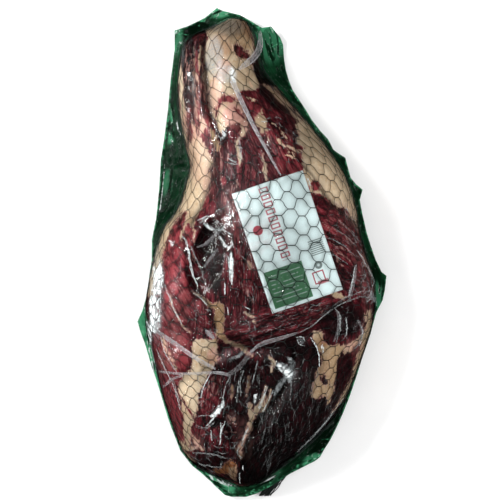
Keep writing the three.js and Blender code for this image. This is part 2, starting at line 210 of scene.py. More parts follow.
# Fat, as outlines
FAT_PATCHES = {
    "shank pad": [
        (-49, 192), (-40, 197), (-32, 200), (-25, 204), (-16, 203), (-10, 194), (-6, 182),
        (-5, 172), (-9, 166), (-5, 155), (0, 147), (-5, 141), (-14, 140), (-20, 138), (-22, 132),
        (-17, 126), (-14, 119), (-12, 112), (-14, 106), (-17, 101), (-20, 103), (-18, 108),
        (-19, 112), (-27, 111), (-34, 106), (-36, 102), (-40, 108), (-43, 118), (-46, 130),
        (-48, 143), (-50, 160),
    ],
    "waist": [
        (-66, 96), (-66, 88), (-63, 76), (-65, 67), (-70, 45), (-75, 39), (-68, 37), (-63, 35),
        (-66, 27), (-71, 19), (-70, 17), (-65, 25), (-61, 31), (-63, 21), (-62, 20), (-59, 30),
        (-54, 39), (-50, 47), (-46, 55), (-47, 63), (-44, 73), (-44, 82), (-50, 93), (-55, 104),
        (-58, 110), (-61, 104), (-63, 94),
    ],
    "right cap": [
        (28, 110), (32, 103), (30, 96), (35, 92), (34, 87), (36, 82), (36, 75), (36, 68),
        (39, 60), (42, 53), (50, 51), (55, 49), (60, 45), (64, 41), (70, 39), (74, 37), (77, 31),
        (84, 22), (96, 30), (92, 60), (76, 84), (60, 104), (43, 116), (34, 115),
    ],
    "lower left": [
        (-60, -75), (-50, -73), (-39, -74), (-37, -82), (-38, -88), (-41, -97), (-44, -102),
        (-52, -116), (-55, -129), (-59, -143), (-61, -150), (-62, -164), (-66, -168),
        (-68, -158), (-69, -140), (-70, -128), (-72, -118), (-73, -111), (-70, -105),
        (-61, -102), (-60, -88),
    ],
    "lower right": [
        (44, -66), (50, -65), (53, -70), (52, -77), (58, -80), (65, -80), (72, -80), (80, -76),
        (79, -84), (74, -87), (68, -90), (65, -95), (66, -105), (63, -112), (62, -120),
        (60, -127), (56, -132), (57, -124), (53, -122), (48, -126), (43, -123), (45, -116),
        (46, -108), (48, -100), (51, -95), (50, -88), (48, -80), (44, -73),
    ],
    "butt end": [
        (-44, -187), (-36, -185), (-32, -180), (-27, -178), (-22, -180), (-22, -188),
        (-24, -197), (-28, -194), (-31, -190), (-38, -190),
    ],
}

# Fat, as lines with a width at each point
FAT_STREAKS = [
    [(-73, 168, 2), (-72, 150, 4), (-70, 130, 4), (-69, 112, 5), (-67, 100, 6)],
    [(-60, 178, 1.2), (-61, 160, 1.6), (-60, 140, 2), (-57, 116, 2)],
    [(-53, 117, 3), (-51, 110, 6), (-54, 104, 4)],
    [(-44, 106, 2.5), (-42, 100, 7), (-41, 94, 5), (-40, 88, 1.5)],
    [(-52, 178, 2), (-52, 171, 3), (-54, 165, 5), (-54, 158, 2)],
    [(-58, 154, 3.5), (-57, 148, 2)],
    [(-61.5, 113, 1), (-60.5, 108, 4), (-57, 102, 4)],
    [(-72, 38, 5), (-78, 31, 6), (-84, 20, 7), (-88, 8, 7), (-91, -4, 7), (-95, -18, 8),
     (-98, -34, 6)],
    [(-60, 36, 4), (-61, 24, 3.4), (-60, 15, 1.6), (-58, 9, 0.4)],
    [(-64, 33, 3), (-68, 22, 3), (-71, 13, 1.5)],
    [(4, 147, 1.5), (12, 141, 2.4), (19, 134, 2.8), (26, 126, 2), (33, 116, 4)],
    [(-2, 120, 3), (-1, 114, 11), (1, 107, 7)],
    [(-18, 102, 1.5), (-22, 97, 3), (-20, 86, 3), (-18.5, 80, 4.5), (-19, 76, 2)],
    [(1, 87, 1), (3, 77, 2), (2, 69, 4), (3, 63, 2)],
    [(-58, -33, 1), (-51, -40, 2.5), (-45, -46, 4), (-38, -48, 10), (-38, -59, 9),
     (-36, -69, 7), (-31, -76, 3.5), (-22, -80, 3), (-14, -84, 3.5), (-9, -88, 1.5)],
    [(-80, -36, 0.8), (-76, -49, 1.4), (-69, -62, 1.6), (-62, -69, 0.8)],
    [(-87.5, -71, 1.2), (-83.3, -86, 2.2), (-78, -92.5, 1.8), (-73.8, -100, 1.4)],
    [(-15, -50, 1), (-10, -53, 2), (-5, -60, 1)],
    [(92, -50, 3), (92, -63, 6), (90, -76, 8), (85, -92, 7), (80, -106, 5), (74, -118, 3),
     (67, -129, 2), (60, -138, 1)],
    [(80, -78, 5), (88, -72, 4)],
    [(61, -34, 3), (66, -36, 6), (71, -39, 3)],
    [(-11, -6, 2), (-10, -10, 5), (-9, -13, 2)],
    [(6, -88, 2), (10, -94, 4), (8, -101, 2)],
    [(-25, -114, 1.5), (-26, -120, 2.5), (-27, -126, 1)],
    [(-12, -108, 1.5), (-12, -116, 2.5), (-13, -122, 1.5)],
    [(3, -115, 1.5), (1, -124, 3.2), (-4, -135, 5.2), (-8, -144, 4.2)],
    [(8, -118, 1), (5, -127, 2.6), (0, -136, 3.6)],
    [(-11, -130, 2.4), (-9.5, -137, 3.8), (-8, -143, 3)],
    [(-9, -147, 4), (-14, -155, 4.5), (-17, -163, 4), (-19.5, -171, 4.5), (-17, -176, 2)],
    [(-60, -158, 2), (-57, -163, 5), (-53, -168, 3)],
    [(-71, -163, 3), (-68, -167, 5), (-63, -169, 4), (-58, -168, 3)],
    [(-69, -171, 3), (-65, -175, 4), (-60, -179, 2)],
    [(-30, -139, 1), (-26, -143, 5), (-23, -147, 1)],
]

# Lean that cuts into the fat
LEAN_SPOTS = [
    [(44.5, 60.5, 6), (47.5, 57, 7)],
    [(-21, 179, 3), (-17, 175, 7), (-12, 170, 6)],
    [(-40, 117, 2), (-40.5, 124, 2.4), (-37.5, 130, 3), (-33, 132.5, 6), (-26, 132, 4)],
    [(-24, 125, 2), (-20, 121, 3.2), (-15, 116, 2)],
    [(-64.5, 124, 5), (-64.5, 115, 5), (-65.2, 104, 3), (-65, 93, 1)],
    [(-60.5, 114, 1.5), (-58, 108, 2), (-55.5, 101, 1)],
    [(-49, 96, 1), (-47, 92, 2), (-46, 88, 1)],
    [(50, -107, 3), (54, -110, 5), (58, -111, 2)],
    [(53, -104, 2), (54, -108, 3)],
    [(71, -86, 3), (71, -98, 9), (67, -112, 4)],
    [(-69, -125, 1), (-65, -133, 2), (-60, -140, 1.6)],
    [(-30, -140.5, 0.5), (-24, -142, 1.2)],
    [(-30, -143.5, 0.5), (-24, -145, 1.2)],
]

# Pale threads of fat in the lean, as lines with a width at each point
PALE_STREAKS = [
    [(51, 27, 0.6), (56, 24, 1.2), (61, 21, 0.6)],
    [(56, 11, 0.6), (68, 5, 1.2), (80, -3, 0.6)],
    [(58, 5, 0.6), (68, -1, 1), (76, -6, 0.6)],
    [(63, 21, 0.6), (76, 11, 1.2), (81, 5, 0.6)],
    [(66, 31, 0.8), (78, 18, 1.2)],
    [(72, 37, 1), (80, 26, 1.6), (87, 13, 1)],
    [(63, -1, 0.8), (67, -7, 1.6), (71, -12, 0.8)],
    [(86, 2, 1), (90, -8, 3), (93, -16, 1.5)],
    [(50, -46, 0.6), (52, -52, 1.2)],
    [(20, -47, 0.6), (23, -54, 1)],
    [(31, -45, 0.6), (35, -52, 1)],
    [(-59, 6, 0.6), (-56, -5, 1.4), (-52, -13, 0.8)],
    [(-84, -76, 0.6), (-82, -96, 1)],
    [(-90, -84, 0.8), (-84, -98, 1)],
    [(-78, -108, 0.8), (-74, -122, 1.2), (-72, -132, 0.8)],
    [(-38, -105, 0.8), (-42, -116, 1.4), (-46, -126, 0.8)],
    [(-35, -105, 0.8), (-37, -114, 1.2), (-42, -126, 0.6)],
    [(-41, -106, 0.6), (-47, -118, 1.2), (-50, -128, 0.6)],
    [(-40, -150, 0.8), (-30, -155, 1), (-22, -154, 0.6)],
    [(-60.5, 136, 2.4), (-59, 126, 2.6), (-57.5, 118, 1.4)],
    [(-43, 116, 0.6), (-46, 107, 1)],
    [(-66, 178, 0.8), (-67, 160, 1.4), (-66, 146, 0.8)],
    [(-63, 172, 0.6), (-64, 156, 1.2), (-63, 138, 0.6)],
    [(-57, 146, 0.6), (-56, 132, 1.2), (-55, 120, 0.6)],
    [(-49, 150, 0.4), (-48, 136, 0.9), (-48, 122, 0.4)],
    [(-36, 66, 0.8), (-34, 48, 1.4), (-33, 34, 0.8)],
    [(-44, 90, 0.6), (-43, 78, 1.2), (-43, 60, 0.6)],
    [(-31, 96, 0.6), (-30, 86, 1), (-31, 74, 0.6)],
    [(-46, 56, 1), (-47, 51, 2), (-49, 47, 0.8)],
    [(-22, 63, 1), (-22, 59, 2), (-24, 55, 1)],
    [(-14, -30, 0.6), (-11, -38, 1), (-7, -46, 0.6)],
    [(-27, 60, 0.8), (-25, 44, 1), (-24, 34, 0.8)],
    [(-38, 88, 0.8), (-36, 74, 1.4), (-37, 62, 0.8)],
    [(-52, 150, 0.8), (-52, 134, 1)],
    [(-20, -18, 0.6), (-16, -32, 1)],
    [(-20, 4, 0.6), (-18, -8, 1)],
]

# Washes of tone over the lean, from 0 for near black to 1 for bright red. The darkest washes are
# partly the lean's own colour and partly painted shade, where the surface turns away from the
# light:
# x, y, radius across, radius along, turn in degrees, tone, share of the full strength
TONES = [
    (-67, 150, 6, 46, 0, 0.12, 1.0),
    (-54, 140, 5, 46, 0, 0.42, 0.9),
    (-56, 110, 14, 14, 0, 0.72, 0.8),
    (-10, 188, 9, 16, 10, 0.15, 0.7),
    (-64, 172, 4, 24, 0, 0.08, 1.0),
    (-59, 165, 3, 12, 0, 0.95, 1.0),
    (-47, 138, 6, 24, 0, 0.3, 1.0),
    (-33, 131, 12, 9, 0, 1.0, 1.0),
    (-20, 121, 8, 9, 0, 0.9, 1.0),
    (46, 58, 7, 8, 0, 1.0, 1.0),
    (-44, 102, 9, 6, 0, 0.55, 0.8),
    (-26, 107, 9, 4, 10, 0.4, 0.9),
    (-33, 70, 12, 34, 0, 0.22, 0.9),
    (-34, 62, 2.5, 4, 0, 0.95, 0.9),
    (-6, 130, 16, 14, -30, 0.66, 0.9),
    (14, 138, 12, 36, 42, 0.05, 1.0),
    (10, 108, 20, 14, 20, 0.5, 0.8),
    (24, 82, 14, 20, 20, 0.72, 0.9),
    (-4, 80, 12, 26, 20, 0.42, 0.9),
    (-76, 28, 8, 10, -30, 0.5, 0.8),
    (-76, -14, 19, 56, -6, 0.86, 1.0),
    (-72, 25, 9, 12, -30, 0.5, 0.9),
    (-47, 12, 9, 16, -30, 0.05, 1.0),
    (-42, -16, 8, 18, 0, 0.02, 1.0),
    (-34, -10, 4, 13, 4, 0.66, 0.9),
    (-57, -26, 7, 32, 16, 0.4, 0.8),
    (-22, -20, 14, 62, 6, 0.5, 0.9),
    (-12, -58, 26, 24, 0, 0.45, 0.8),
    (30, -60, 34, 12, 18, 0.34, 0.9),
    (70, 14, 22, 44, 18, 0.46, 1.0),
    (57, 24, 6, 6, 20, 0.75, 0.6),
    (88, -8, 9, 30, 12, 0.5, 0.8),
    (74, -22, 14, 14, 30, 0.3, 0.8),
    (-52, -56, 10, 22, 20, 0.5, 0.8),
    (-82, -88, 20, 24, -10, 0.88, 1.0),
    (-84, -130, 12, 44, 16, 0.8, 1.0),
    (-43, -118, 10, 26, 18, 0.5, 0.9),
    (-33, -88, 8, 12, -20, 0.42, 0.9),
    (-24, -104, 9, 18, 20, 0.1, 1.0),
    (-12, -122, 18, 34, 10, 0.08, 1.0),
    (-40, -146, 6, 4, 20, 0.0, 1.0),
    (-56, -156, 10, 10, 0, 0.5, 0.9),
    (-30, -160, 13, 12, 0, 0.34, 0.9),
    (-40, -178, 22, 9, 0, 0.14, 0.9),
    (34, -136, 40, 66, -24, 0.04, 1.0),
    (24, -93, 26, 18, 0, 0.04, 1.0),
    (12, -186, 34, 24, -30, 0.03, 1.0),
    (-6, -193, 26, 9, -10, 0.03, 1.0),
    (70, -58, 20, 15, 16, 0.05, 1.0),
    (71, -99, 6, 18, -10, 0.12, 1.0),
    (72, -130, 9, 26, -30, 0.1, 1.0),
]

# Patches where the fat is brown or tan: x, y, radii, turn, share
BROWNS = [
    (-13, 190, 10, 15, 10, 0.8),
    (-28, 182, 9, 14, 0, 0.5),
    (-14, 160, 8, 14, 0, 0.35),
    (-1, 112, 8, 9, 0, 0.6),
    (56, -98, 18, 36, 0, 0.75),
    (-38, 194, 12, 6, 10, 0.3),
    (-37, -57, 13, 22, 10, 1.0),
    (-15, -84, 16, 8, 0, 0.6),
    (-66, -134, 5, 10, 30, 0.4),
    (-64, -158, 6, 12, 0, 0.2),
    (-51, -86, 4, 3, 0, 0.7),
    (-64, -175, 9, 5, 0, 0.5),
    (-68, -166, 5, 4, 0, 0.3),
    (-38, -187, 8, 5, 0, 0.9),
    (-26, -122, 4, 12, 0, 0.8),
    (-12, -114, 4, 12, 0, 0.9),
    (-45, 56, 6, 12, 0, 0.3),
    (-56, 70, 14, 36, 0, 0.12),
    (54, -78, 7, 6, 0, 0.8),
    (-64, -86, 14, 6, 0, 0.3),
    (52, -112, 8, 14, 0, 0.5),
    (-4, -134, 14, 20, 20, 0.2),
    (14, 138, 10, 24, 50, 0.6),
    (-54, 163, 6, 8, 0, 0.5),
    (-42, 98, 8, 12, 0, 0.9),
    (-46, -92, 9, 4, 20, 0.5),
    (66, -36, 9, 7, 0, 0.5),
    (86, -90, 10, 44, -12, 0.4),
    (-60, 20, 10, 18, -20, 0.35),
]

# Patches where the fat or lean is pink
PINKS = [
    (-24, 118, 11, 11, 0, 1.0),
    (-14, 110, 3, 7, 0, 0.9),
    (-22, 130, 10, 6, 0, 0.6),
    (-40, 136, 8, 14, 0, 0.5),
    (-58, 112, 12, 16, 0, 0.7),
    (-58, 150, 5, 24, 0, 0.6),
    (-36, 178, 10, 12, 0, 0.25),
    (-33, 160, 7, 7, 0, 0.6),
    (-38, 148, 6, 7, 0, 0.5),
    (-47, 60, 5, 14, 0, 0.5),
    (-56, 86, 12, 26, 0, 0.3),
    (-42, -88, 5, 7, 0, 0.8),
    (-57, -163, 7, 7, 0, 0.8),
    (-26, -143, 6, 6, 0, 0.9),
    (52, -100, 9, 10, 0, 0.15),
    (80, -80, 8, 6, 0, 0.7),
    (88, -14, 8, 34, 10, 0.5),
    (-73, -53, 8, 20, -26, 0.5),
    (-80, -86, 9, 20, -24, 0.8),
    (-28, 30, 12, 26, 0, 0.3),
    (72, 26, 14, 20, 30, 0.25),
    (77, 13, 5, 18, 26, 0.35),
    (-16, -160, 8, 18, 0, 0.7),
    (-10, -9, 6, 6, 0, 0.5),
]

# Patches where the fat is the colour of rust
RUSTS = [
    (-29, -180, 9, 5, 0, 0.95),
    (-38, -187, 9, 5, 0, 0.85),
    (-24, -190, 4, 8, 0, 0.5),
    (53, -77, 4, 4, 0, 0.5),
    (-30, 62, 3, 5, 0, 0.6),
    (-11, 193, 5, 9, 20, 0.3),
    (-29, 176, 4, 6, 0, 0.15),
]

# Ways that the fibres run, clockwise from the long axis, and the patches that they fill
GRAINS = [
    (-28, [(12, 104, 30, 52, 27, 1.0), (-76, -16, 24, 60, 0, 1.0), (-84, -120, 20, 54, 16, 1.0)]),
    (-60, [(74, 6, 30, 50, 10, 1.0)]),
    (8, [(36, -140, 46, 62, 0, 1.0)]),
    (26, [(-4, -126, 28, 44, -20, 1.0)]),
    (72, [(24, -60, 60, 18, 15, 1.0)]),
    (0, []),
]

# Hollows under the film, deeper than the solid: x, y, radii, turn, depth
DEEP_SPOTS = [
    (-47, 0, 12, 34, -14, 7.0),
    (70, -58, 16, 11, 16, 3.5),
    (-14, -118, 12, 26, 10, 3.0),
    (14, 138, 7, 28, 42, 2.5),
    (71, -99, 5, 16, -10, 2.0),
    (-17, 175, 5, 6, 30, 2.5),
]

# Thin furrows in the meat, deeper than the solid's: depth, half width, line
THIN_FURROWS = [
    (2.2, 1.6, [(-51, 197), (-50, 165), (-47, 135), (-42, 112), (-36, 98)]),
    (1.5, 1.5, [(-61, 188), (-61, 150), (-60, 112)]),
    (1.5, 1.5, [(-42, 96), (-44, 70), (-47, 54), (-56, 38), (-63, 22)]),
    (2.0, 1.8, [(-68, 14), (-64, -10), (-58, -28), (-48, -44), (-40, -66)]),
    (2.0, 1.8, [(-38, -86), (-28, -80), (-8, -82), (15, -78), (33, -71), (50, -58), (68, -45)]),
    (1.6, 1.6, [(-41, -104), (-34, -124), (-32, -150), (-20, -176)]),
    (2.0, 1.8, [(28, -80), (24, -102), (12, -124), (-6, -148), (-14, -166), (-16, -182)]),
    (1.6, 1.6, [(44, -76), (45, -102), (42, -124), (54, -140)]),
    (1.2, 1.5, [(28, 106), (34, 80), (50, 56), (62, 42), (82, 26)]),
]

# Pleats of the film, as a strength and a line with a width at each point
PLEATS = [
    (1.0, [(-26, 148, 4.4), (-21, 137, 4.4), (-17, 128, 4), (-8.2, 110, 3.4), (-0.6, 96, 2.8),
           (4.4, 87, 2.4), (11, 75, 1.8), (16, 66, 1.2)]),
    (0.9, [(-93, -65, 3), (-82, -72.5, 3.6), (-71, -80, 3.8), (-60, -88, 3.6), (-50, -94, 3.2),
           (-40, -99, 2)]),
    (0.75, [(-91, -101, 1.6), (-80, -102.5, 2.2), (-68, -103.5, 2.2), (-55, -103, 2.2),
            (-42, -102, 2.6), (-33, -103, 3), (-27, -105, 2.4)]),
    (0.8, [(-85, -115, 1.6), (-81, -111, 2.4), (-76, -107, 2.4), (-68, -105, 1.6)]),
    (0.24, [(-30, -104, 3), (-25, -102, 4), (-18, -96, 4.4), (-13, -89, 3.6), (-8, -83, 3)]),
    (0.7, [(-10, -85, 1.6), (-5, -80, 2.8), (2, -76.5, 4), (10, -74.5, 3.6), (20, -71.5, 3),
           (31, -68, 1.6)]),
    (0.5, [(80, -10, 1), (79, -20, 3), (76, -32, 4), (74, -40, 2)]),
    (0.5, [(82, -57, 1), (86, -67, 3), (83, -78, 2), (79, -82, 1)]),
    (0.8, [(-2, 190, 2), (-1.5, 181, 5), (-3, 173, 6), (-8.4, 166, 6), (-15, 161, 5),
           (-20, 157, 2)]),
    (0.5, [(-30, 24, 1.5), (-37, 19, 2.4), (-43, 13, 2.6), (-49, 7, 2.6), (-56, 5, 1.2)]),
    (0.5, [(-38, 4, 1.2), (-41, 0, 2.6), (-45, -5, 2.6), (-50, -12, 1.2)]),
    (0.4, [(63, -48, 1), (65.5, -54, 2.2), (65, -66, 2), (61, -76, 0.8)]),
]
# Broad glare on the film, as a strength and a line with a width at each point
GLINTS = [
    (0.9, [(-51, 27, 2), (-47, 23, 3), (-41, 20, 2)]),
    (0.8, [(-36, 14, 1.5), (-33, 7, 2.5), (-30, 4, 3), (-26, 6, 2.5), (-26, 11, 2)]),
    (0.9, [(-27, 1, 1.5), (-26, -8, 4), (-27, -17, 4.5), (-26, -26, 1.5)]),
    (0.9, [(-79, 11, 1.5), (-77, 7, 3), (-75, 10, 1)]),
    (1.0, [(-62.5, 154, 2.5), (-62, 150, 3)]),
    (0.8, [(-26, 157, 3), (-25, 152, 5), (-24, 147, 3)]),
    (0.25, [(-59, 149, 2), (-58, 139, 3.5), (-59, 128, 1.5)]),
    (0.2, [(-66, 185, 1), (-68, 168, 2.5), (-69, 150, 1)]),
    (0.6, [(-34, 105, 1.5), (-32, 101, 3.5), (-34, 98, 2)]),
    (0.35, [(-20, 100, 1.5), (-20, 92, 2.6), (-19, 84, 3.2), (-18.5, 79, 2)]),
    (0.75, [(-88, -7, 2), (-87, -13, 3), (-89, -16, 4)]),
    (0.95, [(-90, -14, 7), (-89, -23, 10), (-90, -31, 8)]),
    (0.75, [(-91, -33, 8), (-92, -40, 8)]),
    (0.95, [(-93, -42, 8), (-92, -53, 9), (-93, -64, 8)]),
    (0.8, [(-99, -60, 4), (-97, -68, 6), (-96, -76, 3)]),
    (1.0, [(-43, -140, 3), (-39, -136, 5.5), (-34, -130, 4)]),
    (0.5, [(-97, -78, 5), (-95, -90, 5), (-92, -102, 3)]),
    (0.3, [(-28, -92, 3), (-20, -88, 4), (-14, -82, 2)]),
    (0.95, [(15, -97, 2), (18.5, -101, 4.5), (23, -104, 3.5)]),
    (0.3, [(12, -95, 5), (18, -98, 9), (25, -103, 9), (23, -110, 4)]),
    (0.35, [(22, -90, 3), (26, -94, 5), (25, -101, 4)]),
    (0.3, [(19, -107, 4), (14, -114, 5), (10, -120, 3)]),
    (1.0, [(-6, -122, 3), (-6, -128, 2.5)]),
    (0.9, [(51, -80, 2), (52.5, -86, 1.5)]),
    (0.15, [(33, -75, 5), (34, -76, 4)]),
    (0.25, [(88, -20, 1), (92, -32, 2), (96, -40, 4)]),
    (0.3, [(-50, -66, 2), (-46, -69, 4), (-42, -72, 3)]),
]

# Thin creases of the film that shine, as a strength and a line with a width at each point
CREASES = [
    (0.68, [(-55, 28, 0.5), (-51, 30, 1.0), (-47, 32, 0.6)]),
    (0.52, [(-54, 26, 0.4), (-50, 28, 0.8), (-46, 31, 0.4)]),
    (0.68, [(-40, 20, 0.6), (-36, 19, 1.1), (-31, 25, 0.6)]),
    (0.68, [(-34, 21, 0.6), (-30, 18, 1.4), (-26, 16, 0.7)]),
    (0.68, [(-31.5, 31, 0.6), (-30, 27, 0.9)]),
    (0.60, [(-36, 15, 0.5), (-34, 10, 0.9), (-31, 7, 0.7)]),
    (0.38, [(-33, 1, 0.5), (-29, -4, 0.8), (-29, -12, 0.5)]),
    (0.68, [(-27, 1, 0.6), (-25, -8, 1.2), (-26, -18, 1.2), (-26, -27, 0.6)]),
    (0.52, [(-29, -3, 0.4), (-28, -14, 0.8), (-28, -24, 0.4)]),
    (0.68, [(-32.4, -26, 0.6), (-32.4, -30, 1.2), (-32, -36, 0.7)]),
    (0.75, [(-65.2, 10, 0.8), (-62.8, 0, 1.6), (-61.4, -10, 1.5), (-59.5, -19, 1.9),
            (-55.7, -27, 0.6)]),
    (0.25, [(-61, 6, 0.4), (-56.7, -5, 0.8), (-52, -13, 0.7), (-50.5, -21, 0.4), (-47, -30, 0.3)]),
    (0.38, [(-69, 14, 0.5), (-66, 12, 0.9), (-64, 9, 0.5)]),
    (0.38, [(-58, -35, 0.5), (-51, -40, 1.0), (-47, -45, 0.5)]),
    (0.26, [(-84, -27, 0.6), (-79.5, -37, 1.4), (-75, -50, 1.4), (-69, -61, 0.8)]),
    (0.60, [(-16.7, -45.8, 0.6), (-11, -48, 0.9)]),
    (0.60, [(-30, -47, 0.5), (-29, -53, 0.7)]),
    (0.60, [(-87, -36, 0.5), (-88, -50, 1.1), (-88, -64, 0.5)]),
    (0.45, [(-91, -82, 0.5), (-85, -96, 0.9), (-79, -108, 0.5)]),
    (0.38, [(-77, -110, 0.5), (-73, -121, 1), (-70, -134, 0.5)]),
    (0.38, [(-87, -72, 0.5), (-83, -86, 1.1), (-73, -102, 0.5)]),
    (0.5, [(-44, -102, 0.6), (-51, -115, 1.0), (-53, -124, 0.5)]),
    (0.5, [(29, -72, 0.3), (35, -71, 0.6), (36.5, -75, 0.4)]),
    (0.5, [(36, -79, 0.3), (31, -78, 0.6), (29.5, -74, 0.3)]),
    (0.68, [(41, -72, 0.5), (46, -79, 1.2), (48.5, -88, 1.3), (49, -97, 0.5)]),
    (0.52, [(85, -63, 0.6), (86, -69, 1.2), (83, -79, 0.6)]),
    (0.60, [(-1, 113, 0.6), (4, 113, 0.9)]),
    (0.68, [(38.6, 64, 0.6), (40, 61, 1.1), (41, 57, 0.5)]),
    (0.22, [(97, -38, 0.4), (84, -37, 0.7), (68, -43, 0.8), (54, -52, 0.8), (43, -62, 0.7),
            (32, -68, 0.4)]),
    (0.22, [(96, -33, 0.4), (86, -33, 0.6), (72, -38, 0.6), (60, -46, 0.4)]),
    (0.30, [(90, -11, 0.4), (96, -23, 0.9), (93, -35, 0.6)]),
    (0.30, [(66, 38, 0.4), (76, 25, 0.9), (88, 11, 0.5)]),
    (0.30, [(70, 38, 0.4), (79, 27, 0.8), (90, 14, 0.4)]),
    (0.38, [(81, 3, 0.3), (86, -4, 0.9), (90, -12, 0.4)]),
    (0.2, [(50.6, 14, 0.3), (61, 11.6, 0.6), (71, 5.6, 0.6), (78, -1.3, 0.3)]),
    (0.2, [(56, -0.5, 0.3), (61, -1.3, 0.6), (66, -4, 0.6), (73, -9, 0.3)]),
    (0.14, [(60, 22, 0.3), (70, 16, 0.6), (80, 6, 0.3)]),
    (0.14, [(66, 28, 0.3), (76, 18, 0.6), (85, 6, 0.3)]),
    (0.52, [(79, -12, 0.4), (77.5, -24, 1.0), (74, -37, 0.5)]),
    (0.45, [(71.5, -55, 0.5), (72.4, -62, 0.9), (72, -70, 0.5)]),
    (0.45, [(62, -47, 0.4), (66.5, -52, 0.7), (66.5, -64, 0.7), (63, -76, 0.4)]),
    (0.24, [(62, -134, 0.4), (48, -152, 0.8), (30, -170, 0.4)]),
    (0.22, [(70, -124, 0.4), (54, -146, 0.7), (38, -162, 0.4)]),
    (0.26, [(10, -186, 0.4), (22, -182, 0.8), (34, -170, 0.4)]),
    (0.38, [(-30, 82, 0.4), (-26, 79, 0.9), (-22, 78, 0.5)]),
    (0.38, [(-29, 77, 0.4), (-25, 76, 0.8), (-21, 76, 0.4)]),
    (0.38, [(-38, 101, 0.4), (-35, 98, 0.9), (-36, 92, 0.4)]),
    (0.35, [(-27.7, -106, 0.4), (-31, -112, 0.7), (-33.4, -120, 0.7), (-33.6, -128, 0.8)]),
    (0.6, [(-33.6, -126, 1.2), (-35, -132, 1.8), (-39, -137, 1.8), (-43, -142, 1.2),
           (-48, -148, 0.6)]),
    (0.6, [(-31.5, -144, 0.7), (-35.3, -152, 1.1), (-36.2, -164, 0.8)]),
    (0.6, [(-36, -145, 0.5), (-35, -150, 1.0), (-36, -158, 0.6)]),
    (0.35, [(-44, -152, 1.4), (-43.6, -160, 1.2)]),
    (0.25, [(-57, -148, 0.4), (-49, -151, 0.7), (-41, -145, 0.5)]),
    (0.25, [(-56, -140, 0.4), (-49, -138.5, 0.6), (-44, -139, 0.4)]),
    (0.19, [(-60.5, -170.3, 0.3), (-45, -171.3, 0.5), (-37.6, -173, 0.45),
            (-30, -175.6, 0.5), (-22, -175, 0.3)]),
    (0.19, [(-54, -180, 0.3), (-42, -182.7, 0.5), (-33.8, -183.2, 0.3)]),
    (0.6, [(-19.6, -188, 0.5), (-19.4, -197, 0.7)]),
    (0.9, [(-16.8, -182, 0.9), (-16.6, -185, 0.7)]),
    (0.7, [(-20, -166, 0.6), (-22, -171, 1.1), (-18, -175, 0.5)]),
    (0.5, [(-12, -149, 0.6), (-16, -156, 1.2), (-18, -165, 0.8)]),
    (0.45, [(4, -114, 0.5), (1, -123, 1.0), (-3, -133, 0.8)]),
    (0.4, [(9, -117, 0.4), (5, -127, 0.8), (0, -136, 0.6)]),
    (0.3, [(-20, -109, 0.4), (-21, -118, 0.6), (-22, -128, 0.4)]),
    (0.25, [(-16, -100, 0.4), (-19, -110, 0.6), (-18, -122, 0.4)]),
    (0.25, [(-4, -92, 0.4), (-6, -102, 0.6), (-9, -112, 0.4)]),
]

# Fine creases in the film, drawn white as painted highlights, with no set places: how many, x, y,
# radii, turn, the way that they run clockwise from the long axis, how unevenly, length, width,
# strength
CRINKLED = [
    (260, 32, -148, 34, 48, -24, 8, 0.08, 15, 0.14, 0.18),
    (80, -18, -132, 20, 36, 0, 14, 0.25, 9, 0.20, 0.26),
    (90, -32, 66, 12, 36, 0, -8, 0.45, 7, 0.24, 0.1),
    (60, -4, 92, 16, 34, 26, -30, 0.45, 8, 0.24, 0.15),
    (36, 20, 96, 12, 26, 30, -40, 0.5, 6, 0.30, 0.25),
    (50, -60, 142, 9, 42, 0, 0, 0.2, 8, 0.26, 0.17),
    (30, -42, 4, 14, 34, -10, 30, 0.8, 7, 0.28, 0.22),
    (80, -16, -20, 10, 56, 6, -12, 0.35, 9, 0.24, 0.2),
    (60, 74, 6, 17, 42, 14, -58, 0.3, 9, 0.22, 0.18),
    (60, 90, -24, 5, 20, 8, 24, 0.5, 7, 0.26, 0.4),
    (40, 82, 18, 6, 24, 24, -62, 0.3, 6, 0.26, 0.35),
    (40, 78, -58, 18, 18, 10, 10, 0.6, 8, 0.24, 0.15),
    (70, 20, -56, 42, 10, 16, 70, 0.3, 10, 0.26, 0.20),
    (50, -84, -92, 12, 30, 0, 30, 0.3, 8, 0.24, 0.17),
    (30, -50, -60, 10, 22, 20, -30, 0.4, 7, 0.28, 0.25),
    (60, -74, -20, 16, 54, 0, -30, 0.6, 6, 0.26, 0.18),
    (60, -42, -172, 22, 18, 0, 80, 0.5, 9, 0.22, 0.24),
    (36, -84, -132, 8, 30, 14, 14, 0.25, 8, 0.24, 0.17),
    (30, -50, -116, 8, 24, 16, 18, 0.3, 9, 0.28, 0.25),
    (40, 14, -92, 26, 12, 0, 20, 0.8, 6, 0.28, 0.25),
    (24, -24, 172, 22, 26, 0, 20, 0.9, 6, 0.28, 0.14),
]

# Painted reflections: faint grey veils where the film mirrors broad light: x, y, radii, turn,
# strength
VEILS = [
    (-41, 168, 7, 17, 0, 0.55),
    (-31, 153, 9, 8, 0, 0.5),
    (-30, 194, 14, 8, 0, 0.1),
    (-90, -34, 6, 40, 0, 0.2),
]

# Where the clear film clings so tightly that it hardly shines: x, y, radii, turn, share
DULL = [
    (-50, 96, 7, 26, 0, 0.9),
    (-28, 78, 7, 14, 0, 0.9),
    (-31, 46, 8, 14, 0, 0.8),
    (-37, 150, 5, 20, 0, 0.8),
    (-33, 112, 6, 12, 0, 0.6),
    (-78, -28, 7, 14, 0, 0.8),
    (-70, -9, 5, 9, 0, 0.9),
    (-32, -87, 9, 7, 0, 0.8),
    (-50, 124, 5, 22, 0, 0.6),
    (-73, 138, 4.5, 44, -2, 0.8),
    (-52, -140, 14, 40, 6, 0.3),
]
